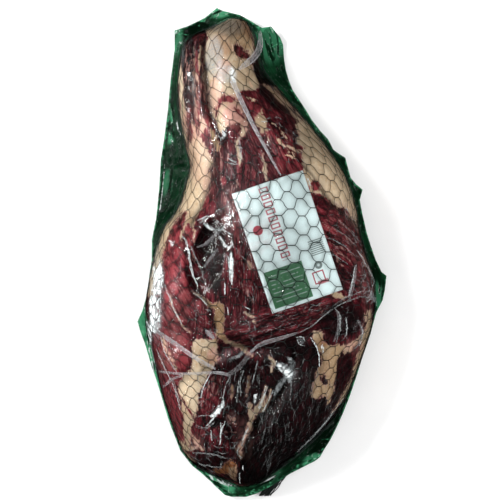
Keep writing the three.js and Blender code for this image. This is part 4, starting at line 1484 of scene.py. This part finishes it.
def green_material(settings):
    """Opaque green plastic film: crumpled gloss, with a painted teal sheen where light falls on it,
    and a pale edge that is partly the film's own and partly a painted highlight.
    """
    green = Finish("green_film")
    light = green.read("light")
    crumple = green.noise(0.8, 2.0, 0.5, 0.4, at=green.read("rim", "Vector"))
    small = green.noise(0.25, 3.0, 0.6, 0.6)
    shade = green.plus(green.times(crumple, 0.8), green.times(small, 0.2))
    colour = green.ramp(
        shade,
        (0.36, rgba(settings.green_colour, 0.4)),
        (0.5, rgba(settings.green_colour, 0.9)),
        (0.68, rgba(settings.green_colour, 1.7)),
    )
    colour = green.tinted(colour, green.read("shade"), settings.green_colour, 0.2)
    # Painted sheen: paler teal green where light falls on the film
    pale = green.times(green.scaled(crumple, 0.4, 0.54), light)
    colour = green.tinted(colour, pale, settings.teal_colour)
    # The pale edge of the rim: partly the sealed film's own paleness and partly a painted highlight
    rim = green.scaled(green.read("edge"), 1.6, 0.4)
    rim = green.times(rim, green.scaled(small, 0.45, 0.6, 0.05, 0.6))
    colour = green.tinted(colour, rim, settings.teal_colour, 1.6)
    glint = green.scaled(green.off(shade, 0.5), 0.012, 0.003)
    glint = green.times(glint, green.scaled(small, 0.5, 0.6))
    glint = green.times(glint, green.scaled(light, 0.1, 0.9, 0.1, 0.9))
    shine = green.plus(green.read("shine"), green.swing(small, 2.0))
    glint = green.highest(glint, green.times(green.scaled(shine, -0.2, 0.5), 0.7))
    colour = green.tinted(colour, glint, settings.glare_colour, 0.8)
    roughness = green.scaled(light, 0.0, 1.0, 0.3, 0.15)
    relief = green.plus(crumple, green.times(small, 0.4))
    return green.done(green.solid(colour, roughness, green.bumped(relief, 2.0, 0.8), specular=0.06))


def card_material(settings):
    """Coated card with a green field and plain shapes."""
    label = Finish("label_card")
    frame_of_card = label.add("ShaderNodeSeparateXYZ", {0: label.read("card", "Vector")}).node
    across, along = frame_of_card.outputs[0], frame_of_card.outputs[1]

    def box(left, right, low, high):
        """1 inside a rectangle of the label."""
        sides = label.lowest(label.minus(across, left), label.minus(right, across))
        ends = label.lowest(label.minus(along, low), label.minus(high, along))
        return label.scaled(label.lowest(sides, ends), -0.12, 0.12)

    def distance(x, y):
        """Distance on the label from one place."""
        dx, dy = label.minus(across, x), label.minus(along, y)
        return label.maths("SQRT", label.plus(label.times(dx, dx), label.times(dy, dy)))

    def stripes(pitch, share):
        """Even stripes that lie across the label."""
        wave = label.maths("FRACT", label.maths("DIVIDE", along, pitch))
        return label.scaled(label.off(wave, 0.5), share / 2.0 + 0.05, share / 2.0 - 0.05)

    cloud = label.noise(0.05, 2.0, 0.5)
    fibre = label.noise(1.1, 3.0, 0.6)
    white = label.shades(cloud, 0.35, 0.65, settings.card_colour, 1.0, 0.86)
    blush = label.scaled(distance(*CARD_BLUSH), 26.0, 4.0, 0.0, 0.5)
    blush = label.times(blush, label.scaled(label.noise(0.12, 2.0), 0.4, 0.6))
    white = label.tinted(white, blush, settings.blush_colour)

    green = label.shades(fibre, 0.3, 0.7, settings.field_colour, 0.8, 1.15)
    colour = label.blended(box(*CARD_FIELD), white, green)
    worn = label.noise(1.0, 1.0, at=label.place(CARD["turn"], (0.35, 0.2, 0.1)))
    rows = label.times(stripes(ROW_PITCH, 0.24), box(*CARD_ROWS))
    rows = label.times(rows, label.times(label.scaled(worn, 0.42, 0.5), 0.5))
    colour = label.tinted(colour, rows, settings.card_colour, 0.8)

    blocks = label.times(stripes(BLOCK_PITCH, 0.7), box(*CARD_BLOCKS))
    holes = label.times(stripes(BLOCK_PITCH, 0.36), box(*CARD_BLOCK_HOLES))
    blocks = label.times(label.minus(blocks, holes, clamp=True), 0.9)
    colour = label.tinted(colour, blocks, settings.print_colour)
    disc = label.scaled(distance(*CARD_DISC), 4.3, 4.0)
    colour = label.tinted(colour, disc, settings.print_colour)
    lines = label.times(stripes(LINE_PITCH, 0.5), box(*CARD_LINES), 0.75)
    colour = label.tinted(colour, lines, settings.net_colour, 3.5)
    square = label.minus(box(*CARD_SQUARE), box(*CARD_SQUARE_HOLE), clamp=True)
    colour = label.tinted(colour, square, settings.print_colour)
    bar = label.times(box(*CARD_BAR), 0.75)
    colour = label.tinted(colour, bar, settings.print_colour)
    ring = distance(*CARD_RING)
    ring = label.times(label.scaled(ring, 3.5, 3.1), label.scaled(ring, 0.8, 1.6, 0.3, 1.0), 0.8)
    colour = label.tinted(colour, ring, settings.net_colour, 3.5)

    # Painted shade of the net's threads on the card
    imprint = label.read("imprint")
    mark = label.times(imprint, label.scaled(cloud, 0.3, 0.7, 0.15, 0.5))
    colour = label.tinted(colour, mark, settings.net_colour, 7.0)
    roughness = label.scaled(fibre, 0.3, 0.7, 0.32, 0.5)
    normal = label.bumped(label.minus(fibre, imprint), 0.2, 0.6)
    return label.done(label.solid(colour, roughness, normal))


def floor_material():
    """A pale even floor."""
    floor = Finish("floor")
    colour = floor.ramp(floor.noise(0.02, 2.0), (0.3, rgba(WHITE, 0.93)), (0.7, rgba(WHITE, 0.96)))
    return floor.done(floor.solid(colour, 0.8))


# Pieces


def shown(points):
    """0 at the seam and below it, 1 from 12 mm above it."""
    return smooth((points[:, 2] - SEAM_Z) / 12.0)


def fat_reach(places):
    """Distance inside the fat, below 0 in the lean."""
    reach = lines_reach(places, FAT_STREAKS)
    for outline in FAT_PATCHES.values():
        reach = np.maximum(reach, patch_reach(places, outline))
    return np.minimum(reach, -lines_reach(places, LEAN_SPOTS))


def grain_shares(places):
    """How much of each fibre direction there is, which together make one."""
    left_over = np.ones(len(places))
    shares = {}
    for index, (_, patches) in enumerate(GRAINS):
        share = covered(places, patches) * left_over if patches else left_over
        left_over = left_over - share
        shares[f"grain_{index}"] = share
    return shares


def hollows(places):
    """Depth of the spots and furrows deeper than the solid, and the painted shade in the furrows.
    """
    depth = np.zeros(len(places))
    crack = np.zeros(len(places))
    for *ellipse, deep in DEEP_SPOTS:
        depth += deep * blob(places, *ellipse)
    for deep, spread, line in THIN_FURROWS:
        gap = -line_reach(places, [(x, y, 0.0) for x, y in line])
        depth += deep * ridge(gap, spread)
        crack = np.maximum(crack, ridge(gap, spread) ** 1.5)
    return depth, crack


def make_meat(settings):
    """The boned ham itself: lean and fat in relief, under the film."""
    made = subdivided("bagged_ham", "ham", 2)
    mesh = made.data
    points = points_of(mesh)
    places = warped(points, size=9.0, reach=1.3, seed=SEEDS["meat edges"])
    top = shown(points)
    fat = fat_reach(places)
    away = net_distance(points, settings)
    # The dent of each thread in the meat; the materials paint shade along it too
    imprint = ridge(away, MARKS["thread"]) * top
    pressed = np.maximum(covered(places, PILLOWS), 0.15) * top
    valley = (1.0 - smooth(away / 3.4)) * pressed
    hollow, crack = hollows(places)
    lumps = two_wobbles(points, sizes=(16.0, 7.0), heights=(1.0, 0.5), seed=SEEDS["meat lumps"])
    stretched = points * np.array([1.0, 0.16, 0.5])
    seed = SEEDS["meat strands"]
    strands = two_wobbles(stretched, sizes=(2.6, 1.4), heights=(1.0, 0.6), seed=seed)
    depth = hollow - RELIEF["fat"] * smooth((fat + 1.0) / 3.0)
    depth += RELIEF["lumps"] * (lumps + 1.5)
    depth += RELIEF["strands"] * strands * smooth((1.0 - fat) / 3.0)
    depth += (RELIEF["thread"] + RELIEF["pressed thread"] * pressed) * imprint
    depth = MEAT_DEPTH + depth * top
    depth += RELIEF["pillow"] * valley - RELIEF["underside"] * (1.0 - top)
    set_points(mesh, points - normals_of(mesh) * depth[:, None])
    set_attributes(
        mesh,
        fat=fat,
        # Painted light on the pillows and painted shade in the valleys between them
        tone=washed(places, TONES, base=0.45) + 0.10 * pressed - 0.24 * valley,
        brown=covered(places, BROWNS),
        pink=covered(places, PINKS),
        rust=covered(places, RUSTS),
        crack=crack * top,
        imprint=imprint,
        speck=lines_reach(places, CRINKLES),
        pale=lines_reach(places, PALE_STREAKS),
        valley=valley,
        **grain_shares(places),
    )
    finish_piece(made, meat_material(settings), "bagged_ham")


def make_film(settings):
    """The clear film round the ham, the net and the label card."""
    made = subdivided("bagged_ham", "clear_film", 2)
    mesh = made.data
    points = points_of(mesh)
    places = warped(points, size=6.0, reach=0.8, seed=SEEDS["film edges"])
    top = shown(points)
    away = net_distance(points, settings)
    taut = on_card(points, settings)
    slack = np.maximum(covered(places, SLACK), 0.2)
    lumps = two_wobbles(points, sizes=(9.0, 4.0), heights=(0.3, 0.3), seed=SEEDS["film lumps"])
    lift = (lumps * (0.5 + slack) - 0.5 * taut * ridge(away, MARKS["taut film"])) * top
    moved = points + normals_of(mesh) * lift[:, None]
    moved[:, 2] += FILM_OVER_CARD * taut
    set_points(mesh, moved)
    glint = np.full(len(points), FAR_OUTSIDE)
    glare = np.zeros(len(points))
    for strength, line in GLINTS:
        reach = line_reach(places, line)
        glint = np.maximum(glint, reach)
        glare = np.maximum(glare, strength * smooth((reach + 2.5) / 2.5))
    set_attributes(
        mesh,
        glint=glint,
        glare=glare * top,
        veil=covered(places, VEILS) * top,
        slack=slack,
        dull=covered(places, DULL),
        thread=ridge(away, MARKS["thread"]) * top,
    )
    finish_piece(made, film_material(settings), "bagged_ham")


def make_net(settings):
    """The fine net between the film and what it holds."""
    threads, knots = net_strands(settings)
    lines = [line - np.array([0.0, 0.0, NET_DEPTH]) for line in threads + knots]
    widths = [np.full(len(line), THREAD_RADIUS) for line in threads]
    widths += [np.full(len(line), KNOT_RADIUS) for line in knots]
    made = new_object("net", tubes("net", lines, settings.net_thread / MM, widths))
    finish_piece(made, net_material(settings), "bagged_ham")


def dense_line(line, step):
    """A line with more points along it, on a smooth course."""
    knots = np.array(line, float)
    lengths = np.hypot(*np.diff(knots[:, :2], axis=0).T)
    dense = evenly(knots, lengths, max(int(lengths.sum() / step), 4) + 1)
    for _ in range(2):
        dense[1:-1] = (dense[:-2] + 2.0 * dense[1:-1] + dense[2:]) / 4.0
    return dense


def make_pleats(settings):
    """Folds of doubled film that stand up a little from the ham."""
    bm = bmesh.new()
    fold = bm.verts.layers.float.new("fold")
    strength = bm.verts.layers.float.new("strength")
    for index, (cover, line) in enumerate(PLEATS):
        dense = dense_line(line, PLEAT_STEP)
        last = len(dense) - 1
        way = np.gradient(dense[:, :2], axis=0)
        side = np.column_stack([-way[:, 1], way[:, 0]])
        side /= np.linalg.norm(side, axis=1)[:, None]
        cells = {"x_segments": PLEAT_CELLS, "y_segments": last}
        grid = bmesh.ops.create_grid(bm, size=1.0, **cells)["verts"]
        shares = np.array([vert.co.x for vert in grid])
        rows = np.array([round((vert.co.y + 1.0) / 2.0 * last) for vert in grid])
        width = dense[rows, 2]
        ground = skin().behind(dense[rows, :2] + side[rows] * (shares * width / 2.0)[:, None])
        wavy = wobble(np.column_stack([rows, shares * 2.0]), 1.7, SEEDS["pleats"] + index)
        ends = smooth(np.minimum(rows, last - rows) / 2.5)
        crest = (1.0 - np.abs(shares) ** 1.6) * ends * np.minimum(width / 4.0, 1.0)
        ground[:, 2] += 0.25 + PLEAT_HEIGHT * crest * (1.0 + 0.35 * wavy)
        for vert, point, share in zip(grid, ground, shares):
            vert.co = Vector(point * MM)
            vert[fold] = share
            vert[strength] = cover
    face_out(bm)
    bmesh.ops.solidify(bm, geom=bm.faces[:], thickness=PLEAT_THICKNESS * MM)
    face_out(bm)
    made = object_from(bm, "film_pleats")
    finish_piece(made, pleat_material(settings), "bagged_ham")


def crinkle(draw, x, y, way, uneven, length, width):
    """A short crease that wanders, with thin ends: places with a width at each."""
    step = length * draw.uniform(0.4, 1.3) / CRINKLE_STEPS
    heading = math.radians(way) + draw.normal(0.0, uneven)
    bend = np.cumsum(draw.normal(0.0, 0.5 * uneven + 0.05, CRINKLE_STEPS)) + heading
    run = np.cumsum(np.column_stack([np.sin(bend), np.cos(bend)]) * step, axis=0)
    run -= run.mean(axis=0)
    taper = np.sin(np.linspace(0.12, math.pi - 0.12, CRINKLE_STEPS))
    wide = width * draw.uniform(0.6, 1.3) * taper
    return np.column_stack([x + run[:, 0], y + run[:, 1], wide])


def crease_lines():
    """Every crease as places with a width at each, and a strength."""
    draw = np.random.default_rng(SEEDS["creases"])
    creases = []
    for strength, line in CREASES:
        for share in CREASE_SHARES:
            dense = dense_line(line, CREASE_STEP)
            dense[:, :2] += draw.normal(0.0, 0.3, 2) + draw.normal(0.0, 0.25, (len(dense), 2))
            dense[:, 2] *= 0.6 * share
            creases.append((strength * share, dense))
    for count, x, y, across, along, turn, way, uneven, length, width, strength in CRINKLED:
        for _ in range(count):
            angle = draw.uniform(0.0, 2.0 * math.pi)
            reach = math.sqrt(draw.uniform())
            u, v = across * reach * math.cos(angle), along * reach * math.sin(angle)
            u, v = turned(u, v, turn)
            line = crinkle(draw, x + u, y + v, way, uneven, length, width)
            creases.append((strength * draw.uniform(0.4, 1.3), line))
    return creases


def make_creases(settings):
    """Sharp ridges of the film that catch the light."""
    lines, widths, strengths = [], [], []
    for strength, crease in crease_lines():
        line = skin().behind(crease[:, :2])
        if np.isnan(line).any() or line[:, 2].min() < SEAM_Z + 1.0:
            continue
        line[:, 2] += FILM_OVER_CARD * on_card(line, settings) + 0.15
        lines.append(line)
        widths.append(crease[:, 2])
        strengths += [strength] * len(line)
    mesh = tubes("film_creases", lines, 0.5, widths)
    tree = near_tree(np.vstack(lines))
    nearest = [tree.find(point)[1] for point in points_of(mesh)]
    set_attributes(mesh, strength=np.array(strengths)[nearest])
    made = new_object("film_creases", mesh)
    finish_piece(made, crease_material(settings), "bagged_ham")


def make_label(settings):
    """A card that is bent over the ham."""
    half_width = settings.card_width / MM / 2.0
    half_length = settings.card_length / MM / 2.0
    bm = bmesh.new()
    bmesh.ops.create_grid(bm, size=1.0, **CARD_CELLS)
    for vert in bm.verts:
        x, y = turned(vert.co.x * half_width, vert.co.y * half_length, CARD["turn"])
        x, y = x + CARD["x"], y + CARD["y"]
        vert.co = Vector((x, y, skin().height(x, y) + CARD["lift"])) * MM
    face_out(bm)
    if bm.faces[0].normal.z < 0:
        bmesh.ops.reverse_faces(bm, faces=bm.faces)
    bmesh.ops.solidify(bm, geom=bm.faces[:], thickness=-CARD["thick"] * MM)
    face_out(bm)
    made = object_from(bm, "label_card")
    points = points_of(made.data)
    across, along = card_place(points)
    set_attributes(
        made.data,
        card=np.column_stack([across, along, np.zeros(len(points))]),
        imprint=ridge(net_distance(points, settings), MARKS["card"]),
    )
    finish_piece(made, card_material(settings), "label")


def along_seam(places, ring):
    """How far along a ring the nearest point of it lies."""
    nearest = np.full(len(places), FAR_AWAY)
    run = np.zeros(len(places))
    start = 0.0
    for a, b in zip(ring, ring[1:] + ring[:1]):
        away, t = to_segment(places, a, b)
        run = np.where(away < nearest, start + t * math.dist(a, b), run)
        nearest = np.minimum(nearest, away)
        start += math.dist(a, b)
    return run


def to_edge(places, out):
    """Distance to the outer edge of the rim, for places outside the seam."""
    angles = np.arctan2(places[:, 1] * 0.5, places[:, 0])
    bins = np.floor((angles + math.pi) / (2.0 * math.pi) * RIM_WAYS).astype(int) % RIM_WAYS
    reach = np.zeros(RIM_WAYS)
    np.maximum.at(reach, bins, out)
    return np.maximum(reach[bins] - out, 0.0)


def make_back_film(settings):
    """The green film under the ham and its crumpled rim."""
    made = subdivided("back_film", "green_film", 2, simple=True)
    mesh = made.data
    points = points_of(mesh)
    places = points[:, :2]
    seam = np.vstack([skin().grid[:, 0], skin().grid[::-1, -1]])[:, :2]
    ring = [tuple(place) for place in seam]
    out = -patch_reach(places, ring)
    run = along_seam(places, ring)
    free = smooth((out - 1.0) / 5.0)
    around = np.column_stack([run, out])
    fold = around / RIM_FOLD
    folds = np.abs(wobble(fold, 1.0, SEEDS["rim folds"]))
    folds += 0.6 * np.abs(wobble(fold * 2.1, 1.0, SEEDS["rim folds"] + 1))
    ruffle = wobble(around / RIM_RUFFLE, 1.0, SEEDS["rim folds"] + 2)
    crumple = RIM_FOLD_HEIGHT * (0.5 - folds) + RIM_RUFFLE_HEIGHT * ruffle
    points[:, 2] = np.maximum(points[:, 2] + free * crumple, 0.05 + 0.2 * free)
    set_points(mesh, points)
    set_attributes(
        mesh,
        rim=np.column_stack([fold, np.zeros(len(points))]),
        edge=to_edge(places, out),
        light=covered(places, STRETCHED),
        shade=covered(places, SHADED),
        shine=lines_reach(places, RIM_GLINTS),
    )
    finish_piece(made, green_material(settings), "back_film")


def make_tail(settings):
    """The gathered end of the net: a flat bundle of yarns with a cut end."""
    low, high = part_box("net_tail")
    last, first = low[1] / MM + 0.8, high[1] / MM
    draw = np.random.default_rng(SEEDS["tail"])
    lines = []
    for _ in range(TAIL["yarns"]):
        angle = draw.uniform(0.0, 2.0 * math.pi)
        radius = math.sqrt(draw.uniform(0.0, 1.0))
        t = np.linspace(0.0, draw.uniform(0.9, 1.0), TAIL["yarn_points"])
        spread = 1.0 + 0.125 * np.sin(t * 5.0 + draw.uniform(0.0, 6.0))
        x = TAIL["x"] - TAIL["run"] * t + math.cos(angle) * radius * TAIL["half_width"] * spread
        x += 0.5 * np.sin(t * 9.0 + draw.uniform(0.0, 6.0))
        z = TAIL["z"] + math.sin(angle) * radius * TAIL["half_height"]
        z = z + 0.25 * np.sin(t * 11.0 + draw.uniform(0.0, 6.0))
        lines.append(np.column_stack([x, first + (last - first) * t, z]))
    made = new_object("tail_yarns", tubes("tail_yarns", lines, TAIL["yarn_radius"]))
    finish_piece(made, net_material(settings), "net_tail")


# Stage


def area_light(name, place_m, size, power, shines=True):
    """A soft light that points at the pack."""
    light = bpy.data.lights.new(name, "AREA")
    light.shape = "RECTANGLE"
    light.size, light.size_y = size
    light.energy = power
    made = new_object(name, light)
    made.visible_glossy = shines
    made.location = place_m
    made.rotation_euler = (-Vector(place_m)).to_track_quat("-Z", "Y").to_euler()


def make_stage(settings):
    """The floor, the soft lights, the sky and the camera."""
    bm = bmesh.new()
    bmesh.ops.create_grid(bm, x_segments=1, y_segments=1, size=FLOOR_SIZE_M)
    bmesh.ops.translate(bm, verts=bm.verts, vec=(0.0, 0.0, -FLOOR_GAP * MM))
    floor = object_from(bm, "floor")
    floor.data.materials.append(floor_material())
    floor.visible_glossy = False

    area_light("key", (-1.3, 0.7, 1.7), (0.5, 0.5), settings.key_power)
    area_light("low_left", (-1.6, -0.1, 0.5), (0.4, 0.8), settings.side_power)
    area_light("fill", (1.5, -0.3, 1.7), (1.4, 1.4), settings.fill_power, shines=False)

    world = bpy.data.worlds.new("studio")
    world.use_nodes = True
    background = world.node_tree.nodes["Background"]
    background.inputs["Color"].default_value = rgba(WHITE)
    background.inputs["Strength"].default_value = settings.sky_strength
    world.cycles_visibility.glossy = False
    bpy.context.scene.world = world

    camera = bpy.data.cameras.new("camera")
    camera.lens = LENS
    camera.clip_end = 20.0
    made = new_object("camera", camera)
    made.location = [value * MM for value in CAMERA]
    bpy.context.scene.camera = made
    bpy.context.scene.view_settings.view_transform = "Standard"
    bpy.context.scene.view_settings.look = "None"


# Settings, operators and panel


def colour_setting(name, description, default):
    """A colour that a user would change."""
    return bpy.props.FloatVectorProperty(
        name=name, description=description, subtype="COLOR", size=3, default=default
    )


def number_setting(name, description, default, **kind):
    """A size, a power or a strength that a user would change."""
    return bpy.props.FloatProperty(name=name, description=description, default=default, **kind)


class PackSettings(bpy.types.PropertyGroup):
    """Sizes and colours that a user would change."""

    lean_colour: colour_setting("Lean", "Colour of the cured lean", (0.13, 0.011, 0.019))
    bright_colour: colour_setting(
        "Bright lean", "Colour of the freshest lean", (0.31, 0.046, 0.056)
    )
    # Also the colour of the painted shade in the furrows, the valleys and beside the threads
    dark_colour: colour_setting(
        "Dark lean", "Colour of the darkest lean", (0.0075, 0.0038, 0.0042)
    )
    grey_colour: colour_setting(
        "Grey lean", "Colour of the dull grain in the lean", (0.30, 0.19, 0.21)
    )
    fat_colour: colour_setting("Fat", "Colour of the fat", (0.71, 0.57, 0.405))
    # Also the colour of the painted shade in the fat's valleys
    brown_colour: colour_setting("Brown fat", "Colour of the browned fat", (0.30, 0.16, 0.065))
    rust_colour: colour_setting(
        "Rust fat", "Colour of the rusty fat at the butt end", (0.38, 0.13, 0.045)
    )
    pink_colour: colour_setting("Pink", "Colour of pink fat and pale lean", (0.72, 0.38, 0.33))
    # Colour of the bright specks, partly fat and partly painted glints
    speck_colour: colour_setting(
        "Specks", "Colour of the bright specks on the lean", (0.85, 0.60, 0.42)
    )
    pleat_colour: colour_setting("Pleats", "Colour of folded film", (0.64, 0.62, 0.64))
    # Colour of the painted reflections on the film
    veil_colour: colour_setting("Veils", "Colour of the hazy film", (0.36, 0.41, 0.43))
    glare_colour: colour_setting("Glare", "Colour of the shining film", (0.86, 0.92, 0.92))
    green_colour: colour_setting("Back film", "Colour of the back film", (0.0028, 0.023, 0.0085))
    # Colour of the painted sheen on the back film, and of its pale edge
    teal_colour: colour_setting(
        "Stretched film", "Colour of the back film where it is stretched", (0.045, 0.22, 0.11)
    )
    # Also the colour of the painted shade of the threads on the label
    net_colour: colour_setting("Net", "Colour of the yarn", (0.016, 0.022, 0.020))
    card_colour: colour_setting("Card", "Colour of the label card", (0.80, 0.92, 0.92))
    blush_colour: colour_setting(
        "Card blush", "Colour of the pink shade on the label", (0.72, 0.64, 0.65)
    )
    field_colour: colour_setting(
        "Card field", "Colour of the field on the label", (0.065, 0.20, 0.095)
    )
    print_colour: colour_setting(
        "Card print", "Colour of the lines on the label", (0.42, 0.045, 0.075)
    )
    card_width: number_setting("Card width", "Width of the label card", 0.063, unit="LENGTH")
    card_length: number_setting("Card length", "Length of the label card", 0.1065, unit="LENGTH")
    net_columns: bpy.props.IntProperty(
        name="Net columns", description="Columns of cells over the shown side", default=28
    )
    net_cell: number_setting("Net cell", "Length of one cell of the net", 0.015, unit="LENGTH")
    net_knot: number_setting("Net knot", "Width of a knot at full stretch", 0.005, unit="LENGTH")
    net_thread: number_setting("Net thread", "Thickness of one thread", 0.00042, unit="LENGTH")
    film_wrinkle: number_setting(
        "Wrinkles", "Strength of the fine wrinkles in the clear film", 0.7, subtype="FACTOR"
    )
    key_power: number_setting("Key light", "Power of the main light", 36.0, unit="POWER")
    side_power: number_setting("Side light", "Power of the low light", 12.0, unit="POWER")
    fill_power: number_setting("Fill light", "Power of the fill light", 32.0, unit="POWER")
    sky_strength: number_setting("Sky", "Strength of the even light from all round", 0.66)


class PackOperator:
    """What the operators share: each one makes its pieces from the scene's settings."""

    bl_options = {"REGISTER", "UNDO"}

    def execute(self, context):
        type(self).make(context.scene.packed_ham)
        return {"FINISHED"}


class MakeStage(PackOperator, bpy.types.Operator):
    """Make the floor, lights and camera"""

    bl_idname = "packed_ham.stage"
    bl_label = "Stage"
    make = staticmethod(make_stage)


class MakeMeat(PackOperator, bpy.types.Operator):
    """Make the boned ham"""

    bl_idname = "packed_ham.meat"
    bl_label = "Meat"
    make = staticmethod(make_meat)


class MakeFilm(PackOperator, bpy.types.Operator):
    """Make the clear film"""

    bl_idname = "packed_ham.film"
    bl_label = "Clear film"
    make = staticmethod(make_film)


class MakeNet(PackOperator, bpy.types.Operator):
    """Make the net"""

    bl_idname = "packed_ham.net"
    bl_label = "Net"
    make = staticmethod(make_net)


class MakePleats(PackOperator, bpy.types.Operator):
    """Make the pleats of the film"""

    bl_idname = "packed_ham.pleats"
    bl_label = "Pleats"
    make = staticmethod(make_pleats)


class MakeCreases(PackOperator, bpy.types.Operator):
    """Make the sharp creases of the clear film"""

    bl_idname = "packed_ham.creases"
    bl_label = "Film creases"
    make = staticmethod(make_creases)


class MakeLabel(PackOperator, bpy.types.Operator):
    """Make the label card"""

    bl_idname = "packed_ham.label"
    bl_label = "Label card"
    make = staticmethod(make_label)


class MakeBackFilm(PackOperator, bpy.types.Operator):
    """Make the green back film"""

    bl_idname = "packed_ham.back_film"
    bl_label = "Back film"
    make = staticmethod(make_back_film)


class MakeTail(PackOperator, bpy.types.Operator):
    """Make the gathered end of the net"""

    bl_idname = "packed_ham.tail"
    bl_label = "Net tail"
    make = staticmethod(make_tail)


OPERATORS = (
    MakeStage,
    MakeMeat,
    MakeFilm,
    MakeNet,
    MakePleats,
    MakeCreases,
    MakeLabel,
    MakeBackFilm,
    MakeTail,
)


class PackPanel(bpy.types.Panel):
    """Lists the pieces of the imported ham"""

    bl_idname = "VIEW3D_PT_packed_ham"
    bl_label = "Packed ham"
    bl_space_type = "VIEW_3D"
    bl_region_type = "UI"
    bl_category = "Ham"

    def draw(self, context):
        for operator in OPERATORS:
            self.layout.operator(operator.bl_idname)
        for name in PackSettings.__annotations__:
            self.layout.prop(context.scene.packed_ham, name)


CLASSES = (PackSettings, *OPERATORS, PackPanel)


def register():
    for item in CLASSES:
        bpy.utils.register_class(item)
    bpy.types.Scene.packed_ham = bpy.props.PointerProperty(type=PackSettings)


def unregister():
    del bpy.types.Scene.packed_ham
    for item in reversed(CLASSES):
        bpy.utils.unregister_class(item)


def main():
    register()
    for operator in OPERATORS:
        group, name = operator.bl_idname.split(".")
        getattr(getattr(bpy.ops, group), name)()


if __name__ == "__main__":
    main()
